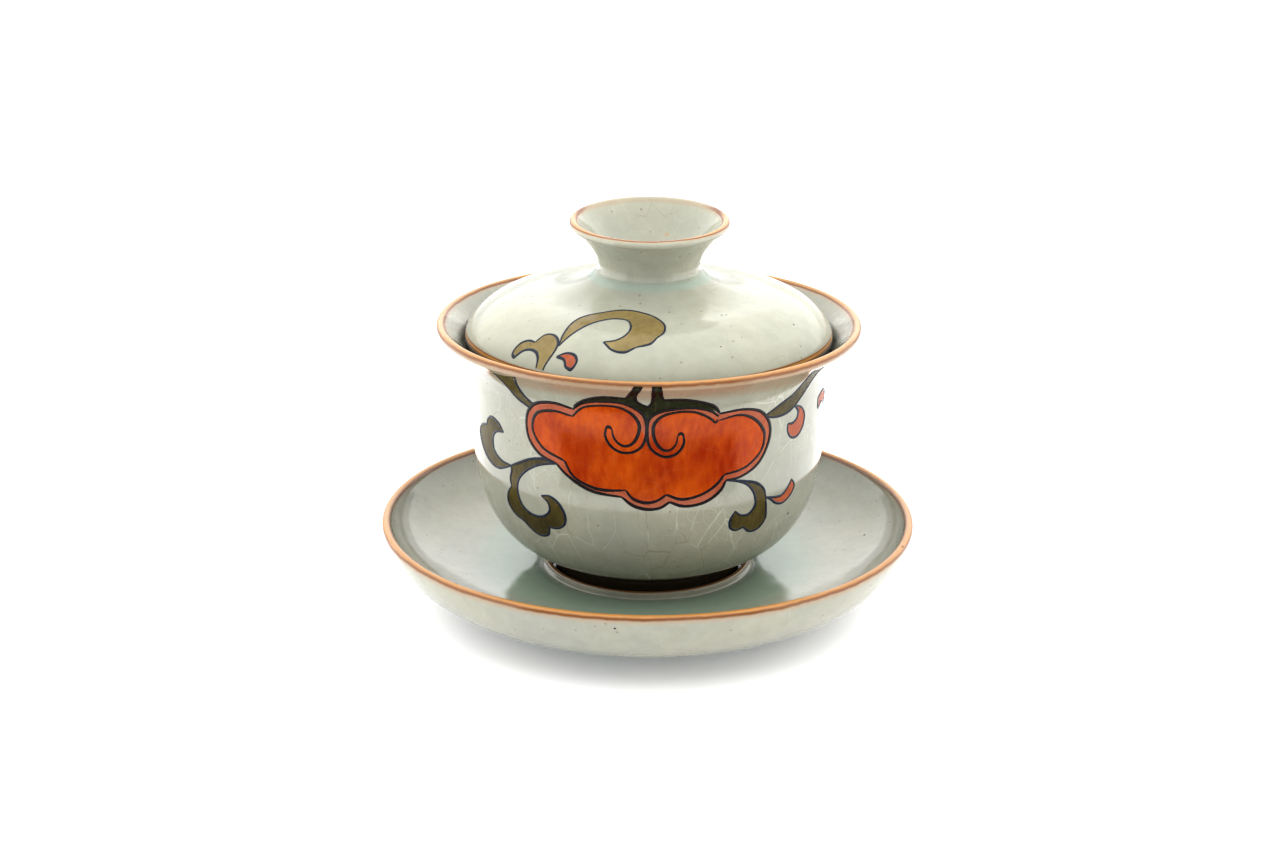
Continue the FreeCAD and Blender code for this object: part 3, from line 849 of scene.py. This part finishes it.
class GaiwanClay(bpy.types.PropertyGroup):
    """How the pots are turned."""

    steps_round: IntProperty(name="Steps Round", description="Facets round each pot", default=240, min=24)
    steps_along: IntProperty(name="Steps Along", description="Facets along each run of an outline",
                             default=20, min=2)
    wobble: length("Wobble", 0.00022, "How far the walls stray from true")
    wobble_size: length("Wobble Size", 0.045, "Size of the wobbles")
    throwing_rings: length("Throwing Rings", 0.000006, "Height of the rings left by the fingers")
    ring_spacing: length("Ring Spacing", 0.0042, "Distance from one throwing ring to the next")
    knob_lean: FloatProperty(name="Knob Lean", description="How far the knob's lip tips to the front",
                             default=math.radians(3.2), subtype="ANGLE")


class GaiwanGlaze(bpy.types.PropertyGroup):
    """The glaze, the crazing in it and the iron on the lips."""

    celadon: colour("Celadon", (0.283, 0.288, 0.242), "Main colour of the glaze")
    celadon_warm: colour("Warm Celadon", (0.315, 0.312, 0.248), "Warmer colour that it drifts to")
    # Glaze pooled round the seat ring, given the greener look of glaze in the bowl's shade: partly painted
    # shade.
    pool: colour("Pooled Glaze and Shade", (0.21, 0.31, 0.235), "Colour where the glaze lies thick and in shade under the bowl")
    crackle_size: length("Crackle Size", 0.0056, "Size of the cells of the crazing")
    crackle_width: length("Crackle Width", 0.0001, "Width of a craze line")
    crackle_grey: colour("Crackle Stain", (0.2, 0.18, 0.13), "Colour of stained craze lines")
    crackle_pale: colour("Crackle Light", (0.47, 0.48, 0.42), "Colour of fresh craze lines")
    iron_width: FloatProperty(name="Iron Width",
                              description="Reach of the iron from the middle of a lip, in mm",
                              default=1.05, min=0.3)
    iron: colour("Iron", (0.17, 0.062, 0.012), "Iron dressing on the lips")
    iron_light: colour("Thin Iron", (0.38, 0.192, 0.055), "Iron dressing where it is worn thin")
    iron_fade: colour("Iron Fade", (0.36, 0.23, 0.13), "Where the iron fades into the glaze")
    # Painted shade: a near-black colour laid in the gaps round the bowl's foot and its seat ring and under
    # the lid's edge.
    foot_slip: colour("Painted Gap Shade", (0.028, 0.02, 0.011), "Painted shade in the gaps round the foot and under the lid's edge")
    bare_clay: colour("Bare Clay", (0.5, 0.4, 0.3), "The unglazed edge of a foot")
    specks_per_area: FloatProperty(name="Specks", description="Iron specks in a square metre of glaze",
                                   default=2200.0, min=0)


class GaiwanBrush(bpy.types.PropertyGroup):
    """The painted flowers."""

    orange_deep: colour("Deep Orange", (0.48, 0.042, 0.0005), "Orange enamel where it is thick")
    orange_bright: colour("Bright Orange", (0.8, 0.165, 0.0005), "Orange enamel where it is thin")
    coral_deep: colour("Deep Coral", (0.54, 0.145, 0.062), "Coral enamel where it is thick")
    coral_bright: colour("Bright Coral", (0.64, 0.21, 0.105), "Coral enamel where it is thin")
    olive_deep: colour("Deep Olive", (0.08, 0.064, 0.018), "Olive enamel where it is thick")
    olive_bright: colour("Bright Olive", (0.19, 0.15, 0.045), "Olive enamel where it is thin")
    leaf_green_deep: colour("Deep Leaf Green", (0.018, 0.022, 0.009),
                            "Dark green enamel of the calyx, thick")
    leaf_green_bright: colour("Bright Leaf Green", (0.05, 0.055, 0.022),
                              "Dark green enamel of the calyx, thin")
    ink: colour("Ink", (0.007, 0.004, 0.005), "Outline colour")
    ink_fringe: colour("Ink Fringe", (0.01, 0.009, 0.018), "Outline colour where it bleeds into the glaze")
    line_width: length("Line Width", 0.00076, "Width of an outline stroke")
    line_height: length("Line Height", 0.00026,
                        "Thickness of an outline stroke, half of it sunk in the glaze")
    enamel_height: length("Enamel Height", 0.00004, "How far the enamel stands above the glaze")
    pale_olive_deep: colour("Deep Pale Olive", (0.33, 0.25, 0.1), "Thin olive enamel of the lid, thick")
    pale_olive_bright: colour("Bright Pale Olive", (0.5, 0.4, 0.18), "Thin olive enamel of the lid, thin")
    blue_ink: colour("Blue Ink", (0.01, 0.016, 0.03), "Outline colour of the leaves")
    blue_fringe: colour("Blue Fringe", (0.04, 0.07, 0.11), "Where the leaf outlines bleed")
    leaf_line: FloatProperty(name="Leaf Line",
                             description="Width of a leaf outline, as a share of a flower's",
                             default=0.8, min=0.1)
    fill_spacing: length("Fill Spacing", 0.0009, "Distance between points inside a painted shape")


class GaiwanStudio(bpy.types.PropertyGroup):
    """Camera, floor and lights."""

    distance: length("Distance", 0.5, "From the aim to the camera")
    aim_height: length("Aim Height", 0.04, "Height that the camera aims at")
    elevation: FloatProperty(name="Elevation", description="Camera angle above the horizon",
                             default=math.radians(19.08), subtype="ANGLE")
    roll: FloatProperty(name="Roll", description="Tilt of the camera",
                        default=math.radians(0.4), subtype="ANGLE")
    lens: FloatProperty(name="Lens", description="Focal length in millimetres", default=63.84)
    shift: FloatProperty(name="Shift", description="Sideways shift of the frame", default=-0.0064)
    sky: FloatProperty(name="Sky", description="Strength of the light from all round", default=0.72)
    side_power: FloatProperty(name="Side Light", description="Power of each side light in watts",
                              default=8.2)
    back_power: FloatProperty(name="Back Light",
                              description="Power of the high back light in watts", default=5.0)
    top_power: FloatProperty(name="Top Light", description="Power of the light overhead in watts",
                             default=14.0)
    exposure: FloatProperty(name="Exposure", description="Stops added to the picture", default=0.55)
    gamma: FloatProperty(name="Gamma", description="Below 1, the dark tones are deepened", default=0.8)
    floor_glow: FloatProperty(name="Floor Glow",
                              description="Light that the sweep gives off itself", default=0.12)
    floor_colour: colour("Floor", (0.93, 0.925, 0.94), "Colour of the sweep")


# ---------------------------------------------------------------- making the pots


def outline_curve(name, outline, node):
    """The outline as a curve object, raised to where its CAD node stands."""
    bottom = min(knot[1][1] for knot in outline.knots)
    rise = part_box(node)[0].z - bottom * MM
    curve = bpy.data.curves.new(name, "CURVE")
    curve.dimensions = "3D"
    curve.resolution_u = bpy.context.scene.gaiwan_clay.steps_along
    spline = curve.splines.new("BEZIER")
    spline.bezier_points.add(len(outline.knots) - 1)
    for bezier, (arrive, point, leave) in zip(spline.bezier_points, outline.knots):
        bezier.handle_left_type = bezier.handle_right_type = "FREE"
        bezier.co = (point[0] * MM, 0, point[1] * MM + rise)
        bezier.handle_left = (arrive[0] * MM, 0, arrive[1] * MM + rise)
        bezier.handle_right = (leave[0] * MM, 0, leave[1] * MM + rise)
    spline.resolution_u = curve.resolution_u
    return bpy.data.objects.new(name, curve)


def turn_pot(name, outline, node, body, material, lean=0.0):
    """Turns an outline and puts the pot in place of its CAD node."""
    clay = bpy.context.scene.gaiwan_clay
    tree = bpy.data.node_groups.get("Turned on the Wheel") or wheel_tree()
    mesh = grown(outline_curve(name, outline, node), tree, {
        "Steps Round": clay.steps_round, "Wobble": clay.wobble, "Wobble Size": clay.wobble_size,
        "Throwing Rings": clay.throwing_rings, "Ring Spacing": clay.ring_spacing, "Lean": math.tan(lean),
        "Material": material})
    return piece(name, mesh, body, "celadon_glaze", node)


def stroke_curve(name, strokes):
    """Brush strokes as one curve object; the brush presses hardest in the middle of each."""
    curve = bpy.data.curves.new(name, "CURVE")
    curve.dimensions = "3D"
    for number, stroke in enumerate(strokes):
        line = smooth(stroke)
        spline = curve.splines.new("POLY")
        spline.points.add(len(line) - 1)
        for step, (point, spot) in enumerate(zip(spline.points, line)):
            along = step / (len(line) - 1)
            point.co = (spot[0] * MM, spot[1] * MM, 0, 1)
            swell = math.sin(math.pi * along) ** 0.5
            waver = PRESS_WAVER * math.sin(WAVERS_ALONG * along + WAVER_CHANGE * number)
            point.radius = PRESS_ENDS + PRESS_MIDDLE * swell + waver
    return bpy.data.objects.new(name, curve)


def filled_shape(name, strokes, above):
    """A thin slab of enamel inside a closed outline, with points all over so that it can bend."""
    brush = bpy.context.scene.gaiwan_brush
    loop = []
    for stroke in strokes:
        loop += [Vector(spot[:2]) for spot in smooth(stroke)[:-1]]
    spacing = brush.fill_spacing / MM
    low = [min(spot[axis] for spot in loop) for axis in (0, 1)]
    high = [max(spot[axis] for spot in loop) for axis in (0, 1)]
    inside = []
    for column in range(1, math.ceil((high[0] - low[0]) / spacing)):
        for row in range(1, math.ceil((high[1] - low[1]) / spacing)):
            spot = Vector((low[0] + (column + 0.5 * (row % 2)) * spacing, low[1] + row * spacing))
            if min((spot - edge).length for edge in loop) > spacing * CLEAR_EDGE:
                inside.append(spot)
    spots, _, faces, *_ = delaunay_2d_cdt(loop + inside, [], [list(range(len(loop)))], 1, 1e-5)
    kept = sorted({corner for face in faces for corner in face})
    new_number = {corner: number for number, corner in enumerate(kept)}
    spots = [spots[corner] for corner in kept]
    faces = [[new_number[corner] for corner in face] for face in faces]
    count = len(spots)
    points = [(spot.x * MM, spot.y * MM, level) for level in (above, -SLAB_DEPTH) for spot in spots]
    tops = []
    for face in faces:
        a, b, c = (spots[corner] for corner in face[:3])
        turn = (b - a).cross(c - a)
        tops.append(list(face) if turn > 0 else list(reversed(face)))
    polygons = tops + [[corner + count for corner in reversed(face)] for face in tops]
    used = dict.fromkeys((start, end) for face in tops for start, end in zip(face, face[1:] + face[:1]))
    rim = [(start, end) for start, end in used if (end, start) not in used]
    polygons += [[end, start, start + count, end + count] for start, end in rim]
    mesh = bpy.data.meshes.new(name)
    mesh.from_pydata(points, [], polygons)
    mesh.validate()
    for polygon in mesh.polygons:
        polygon.use_smooth = True
    rims = {frozenset(edge) for edge in rim} | {frozenset((a + count, b + count)) for a, b in rim}
    sharp = mesh.attributes.new("sharp_edge", "BOOLEAN", "EDGE")
    for edge in mesh.edges:
        sharp.data[edge.index].value = frozenset(edge.vertices) in rims
    return bpy.data.objects.new(name, mesh)


def paint_on(drawing, pot, body, slot, material, from_above, turn, line_scale=1.0):
    """Lays a drawing on a pot and puts it in the scene."""
    brush = bpy.context.scene.gaiwan_brush
    tree = bpy.data.node_groups.get("Painted On") or paint_tree()
    name = drawing.name
    mesh = grown(drawing, tree, {
        "Pot": pot, "From Above": from_above, "Turn": turn, "Line Width": brush.line_width * line_scale,
        "Line Height": brush.line_height, "Material": material})
    lowest = min(vertex.co.z for vertex in pot.data.vertices)
    if min(vertex.co.z for vertex in mesh.vertices) < lowest - MM:
        raise RuntimeError(f"{name} runs off the {pot.name}")
    return piece(name, mesh, body, slot)


def paints():
    """The enamels and the inks, each made once."""
    brush = bpy.context.scene.gaiwan_brush
    made = {}
    for paint in ("orange", "coral", "olive", "leaf_green", "pale_olive"):
        name = f"{paint.replace('_', ' ').title()} Enamel"
        deep, bright = getattr(brush, f"{paint}_deep"), getattr(brush, f"{paint}_bright")
        made[paint] = bpy.data.materials.get(name) or enamel(name, deep, bright)
    inks = (("ink", "Outline Ink", "ink_fringe"), ("blue_ink", "Blue Outline Ink", "blue_fringe"))
    for ink, name, fringe in inks:
        core, fringe = getattr(brush, ink), getattr(brush, fringe)
        made[ink] = bpy.data.materials.get(name) or brush_ink(name, core, fringe)
    return made


def paint_motif(pot, body, shapes, outlines, from_above, side, turn):
    """Paints the filled shapes, lowest first, and then the outlines, on one side of a pot.

    outlines holds rows of a name, an ink, strokes and the width of the strokes against the usual one.
    """
    brush = bpy.context.scene.gaiwan_brush
    colours = paints()
    for name, paint, strokes, layer in shapes:
        drawing = filled_shape(f"{name}_{side}", strokes, brush.enamel_height * (1 + 0.5 * layer))
        paint_on(drawing, pot, body, PAINT_SLOTS[paint], colours[paint], from_above, turn)
    for name, ink, strokes, line_scale in outlines:
        drawing = stroke_curve(f"{name}_outlines_{side}", strokes)
        paint_on(drawing, pot, body, "dark_brush_line", colours[ink], from_above, turn, line_scale)


def speckle(pot, body, seed):
    """Scatters iron specks over one pot."""
    glaze = bpy.context.scene.gaiwan_glaze
    tree = bpy.data.node_groups.get("Iron Specks") or speck_tree()
    ink = paints()["ink"]
    name = f"{pot.name}_specks"
    base = bpy.data.objects.new(name, pot.data)
    mesh = grown(base, tree, {"Specks per Area": glaze.specks_per_area, "Seed": seed, "Material": ink})
    return piece(name, mesh, body, "iron_rim")


# ---------------------------------------------------------------- operators


FIRST_SPECK_SEED = 4
# Each soft light: name, place, aim, width and height in metres, and the studio property with its power.
LIGHTS = [
    ("side_light_left", (-0.95, 0.1, 0.66), (0, 0.1, 0.66), 1.7, 1.3, "side_power"),
    ("side_light_right", (0.95, 0.1, 0.66), (0, 0.1, 0.66), 1.7, 1.3, "side_power"),
    ("back_light", (0, 0.95, 0.78), (0, 0, 0.78), 1.9, 1.06, "back_power"),
    ("top_light", (0, -0.15, 1.31), (0, -0.15, 0), 1.9, 2.2, "top_power"),
]


class ThrowSaucer(bpy.types.Operator):
    """Turns the saucer and the low ring that the bowl's foot sits in."""

    bl_idname = "gaiwan.throw_saucer"
    bl_label = "Throw the Saucer"

    def execute(self, context):
        # Painted shade: the near-black rings inside the seat ring and on the collar's inner side stand for
        # the dark gap round the foot, and the green ring round the seat ring is partly painted shade under
        # the bowl.
        thick = tuple(context.scene.gaiwan_glaze.pool)
        gap_shade = tuple(context.scene.gaiwan_glaze.foot_slip)
        glaze = celadon("Saucer Glaze", SAUCER_IRON, crazing=0.3, foot=0.0009, tints=[
            Tint(ring=(27.0, 8.4), full=4.0, gone=16.0, colour=thick, strength=0.6),
            Tint(ring=(20.8, 7.4), full=1.0, gone=1.8, colour=gap_shade, strength=1.0)])
        ring_glaze = celadon("Collar Glaze", SEAT_RING_IRON, iron=0.55, crazing=0.3, tints=[
            Tint(ring=(21.2, 8.0), full=0.9, gone=1.5, colour=gap_shade, strength=1.0)])
        turn_pot("saucer_glazed", saucer_outline(), "saucer", "saucer", glaze)
        turn_pot("seat_ring_glazed", seat_ring_outline(), "saucer_seat_ring", "saucer", ring_glaze)
        return {"FINISHED"}


class ThrowBowl(bpy.types.Operator):
    """Turns the bowl with its flared lip and low foot."""

    bl_idname = "gaiwan.throw_bowl"
    bl_label = "Throw the Bowl"

    def execute(self, context):
        # Painted shade: the near-black rings darken the crevice below the lid's edge and the foot inside its
        # seat ring.
        gap_shade = tuple(context.scene.gaiwan_glaze.foot_slip)
        glaze = celadon("Bowl Glaze", BOWL_IRON, crazing=1.4, foot=0.0079, tints=[
            Tint(ring=(47.0, 60.5), full=3.3, gone=5.4, colour=UNDER_LIP, strength=0.5),
            Tint(ring=(40.8, 60.4), full=0.6, gone=1.6, colour=gap_shade, strength=0.35),
            Tint(ring=(20.2, 9.6), full=2.4, gone=3.2, colour=gap_shade, strength=1.0)])
        turn_pot("bowl_glazed", bowl_outline(), "bowl", "bowl", glaze)
        return {"FINISHED"}


class ThrowLid(bpy.types.Operator):
    """Turns the domed lid and its flared hollow knob."""

    bl_idname = "gaiwan.throw_lid"
    bl_label = "Throw the Lid"

    def execute(self, context):
        # Painted light and shade: the lid and knob glaze is made paler as painted light from above, and the
        # near-black ring under the lid's edge is painted shade.
        gap_shade = tuple(context.scene.gaiwan_glaze.foot_slip)
        dome = celadon("Lid Glaze", LID_IRON, iron=0.5, crazing=0.4, tone=1.14, ior=LID_IOR, tints=[
            Tint(ring=(12.4, 75.0), full=0.4, gone=1.7, colour=POOL_AND_HIGHLIGHT_ROUND_KNOB, strength=0.4),
            Tint(ring=(39.3, 61.0), full=1.1, gone=1.45, colour=gap_shade, strength=0.97)])
        dab, dab_radius = Vector((3.9, 10.6, 80.6)) * MM, 0.0004
        knob = celadon("Knob Glaze", KNOB_IRON, iron=0.8, crazing=0.6, tone=1.15, tints=[
            Tint(ring=(12.2, 75.2), full=0.4, gone=1.8, colour=POOL_AND_HIGHLIGHT_ROUND_KNOB, strength=0.4)],
            dabs=[(dab, dab_radius)])
        turn_pot("lid_glazed", lid_outline(), "lid_dome", "lid", dome)
        lean = context.scene.gaiwan_clay.knob_lean
        turn_pot("knob_glazed", knob_outline(), "lid_knob", "lid", knob, lean)
        return {"FINISHED"}


class PaintBowl(bpy.types.Operator):
    """Paints the flower, its stems and its leaves on the front and the back of the bowl."""

    bl_idname = "gaiwan.paint_bowl"
    bl_label = "Paint the Bowl"

    def execute(self, context):
        outlines = [("flower", "ink", FLOWER_LINES, 1.0),
                    ("leaf", "blue_ink", LEAF_LINES, context.scene.gaiwan_brush.leaf_line)]
        pot = bpy.data.objects["bowl_glazed"]
        for side, turn in (("front", 0.0), ("back", math.pi)):
            paint_motif(pot, "bowl", BOWL_SHAPES, outlines, False, side, turn)
        return {"FINISHED"}


class PaintLid(bpy.types.Operator):
    """Paints the spray of leaves on the front of the lid."""

    bl_idname = "gaiwan.paint_lid"
    bl_label = "Paint the Lid"

    def execute(self, context):
        width = context.scene.gaiwan_brush.leaf_line * LID_LINE_SCALE
        outlines = [("spray", "blue_ink", LID_LINES, width)]
        paint_motif(bpy.data.objects["lid_glazed"], "lid", LID_SHAPES, outlines, True, "front", 0.0)
        return {"FINISHED"}


class SpeckleGlaze(bpy.types.Operator):
    """Scatters iron specks over the saucer, the bowl and the lid."""

    bl_idname = "gaiwan.speckle_glaze"
    bl_label = "Speckle the Glaze"

    def execute(self, context):
        pots = (("saucer_glazed", "saucer"), ("bowl_glazed", "bowl"),
                ("lid_glazed", "lid"), ("knob_glazed", "lid"))
        for seed, (name, body) in enumerate(pots, FIRST_SPECK_SEED):
            speckle(bpy.data.objects[name], body, seed)
        return {"FINISHED"}


def sweep_mesh():
    """A floor that curves up behind into a backdrop."""
    half_width, front, back, radius, top = 2.4, -1.6, 1.6, 0.8, 2.6
    section = [(front, 0.0), (back, 0.0)]
    for step in range(1, 13):
        angle = step / 12 * math.pi / 2
        section.append((back + radius * math.sin(angle), radius * (1 - math.cos(angle))))
    section.append((back + radius, top))
    points = [(side * half_width, y, z) for y, z in section for side in (-1, 1)]
    faces = [(2 * row, 2 * row + 1, 2 * row + 3, 2 * row + 2) for row in range(len(section) - 1)]
    mesh = bpy.data.meshes.new("studio_sweep")
    mesh.from_pydata(points, [], faces)
    for polygon in mesh.polygons:
        polygon.use_smooth = True
    return mesh


def shade_mesh():
    """A dark fan on the floor in front, which only shows as a shade in the glaze."""
    near, far, half_angle, lift = 0.108, 1.5, math.radians(50), 0.0006
    points = []
    for step in range(13):
        angle = half_angle * (step / 6 - 1)
        points += [(reach * math.sin(angle), -reach * math.cos(angle), lift) for reach in (near, far)]
    faces = [(2 * step, 2 * step + 1, 2 * step + 3, 2 * step + 2) for step in range(12)]
    mesh = bpy.data.meshes.new("front_shade")
    mesh.from_pydata(points, [], faces)
    return mesh


def area_light(name, place, aim, width, height, power):
    """A soft rectangular light that the camera doesn't see."""
    light = bpy.data.lights.new(name, "AREA")
    light.shape = "RECTANGLE"
    light.size, light.size_y, light.energy = width, height, power
    lamp = bpy.data.objects.new(name, light)
    lamp.location = place
    lamp.rotation_euler = (Vector(aim) - Vector(place)).to_track_quat("-Z", "Y").to_euler()
    lamp.visible_camera = False
    bpy.context.scene.collection.objects.link(lamp)


class SetStage(bpy.types.Operator):
    """Lays out the floor, the lights and the camera."""

    bl_idname = "gaiwan.set_stage"
    bl_label = "Set the Stage"

    def execute(self, context):
        scene = context.scene
        studio = scene.gaiwan_studio
        sweep = bpy.data.objects.new("studio_sweep", sweep_mesh())
        sweep.data.materials.append(plain_matte("Studio Paper", studio.floor_colour, studio.floor_glow))
        scene.collection.objects.link(sweep)
        shade = bpy.data.objects.new("front_shade", shade_mesh())
        shade.data.materials.append(plain_matte("Shade Cloth", (0.04, 0.04, 0.045)))
        scene.collection.objects.link(shade)
        shade.visible_camera = shade.visible_diffuse = shade.visible_shadow = False

        world = bpy.data.worlds.new("Studio Air")
        world.use_nodes = True
        background = world.node_tree.nodes["Background"]
        background.inputs["Color"].default_value = (1.0, 1.0, 1.0, 1.0)
        background.inputs["Strength"].default_value = studio.sky
        scene.world = world
        for name, place, aim, width, height, power in LIGHTS:
            area_light(name, place, aim, width, height, getattr(studio, power))

        camera = bpy.data.cameras.new("studio_camera")
        camera.sensor_width = 36.0
        camera.lens = studio.lens
        camera.shift_x = studio.shift
        aim = Vector((0, 0, studio.aim_height))
        back = Vector((0, -math.cos(studio.elevation), math.sin(studio.elevation)))
        viewer = bpy.data.objects.new("studio_camera", camera)
        turn = (-back).to_track_quat("-Z", "Y").to_matrix() @ Matrix.Rotation(studio.roll, 3, "Z")
        viewer.matrix_world = Matrix.Translation(aim + back * studio.distance) @ turn.to_4x4()
        scene.collection.objects.link(viewer)
        scene.camera = viewer
        scene.view_settings.view_transform = "Standard"
        scene.view_settings.exposure = studio.exposure
        scene.view_settings.gamma = studio.gamma
        return {"FINISHED"}


class GaiwanPanel(bpy.types.Panel):
    """The steps of making a gaiwan, in order, with their sizes and colours."""

    bl_idname = "VIEW3D_PT_gaiwan"
    bl_label = "Gaiwan"
    bl_space_type = "VIEW_3D"
    bl_region_type = "UI"
    bl_category = "Gaiwan"

    def draw(self, context):
        for step in STEPS:
            self.layout.operator(step.bl_idname)
        for group in GROUPS.values():
            box = self.layout.box()
            box.label(text=group.__doc__)
        for name in GROUPS:
            group = getattr(context.scene, name)
            for prop in group.bl_rna.properties:
                if prop.identifier not in ("rna_type", "name"):
                    self.layout.prop(group, prop.identifier)


STEPS = [SetStage, ThrowSaucer, ThrowBowl, ThrowLid, PaintBowl, PaintLid, SpeckleGlaze]
GROUPS = {"gaiwan_clay": GaiwanClay, "gaiwan_glaze": GaiwanGlaze, "gaiwan_brush": GaiwanBrush,
          "gaiwan_studio": GaiwanStudio}


def register():
    """Adds the properties, the operators and the panel to Blender."""
    for kind in [*GROUPS.values(), *STEPS, GaiwanPanel]:
        bpy.utils.register_class(kind)
    for name, group in GROUPS.items():
        setattr(bpy.types.Scene, name, PointerProperty(type=group))


def unregister():
    """Takes them away again."""
    for name in GROUPS:
        delattr(bpy.types.Scene, name)
    for kind in reversed([*GROUPS.values(), *STEPS, GaiwanPanel]):
        bpy.utils.unregister_class(kind)


def main():
    """Makes the whole gaiwan."""
    register()
    for step in STEPS:
        group, name = step.bl_idname.split(".")
        getattr(getattr(bpy.ops, group), name)()


if __name__ == "__main__":
    main()
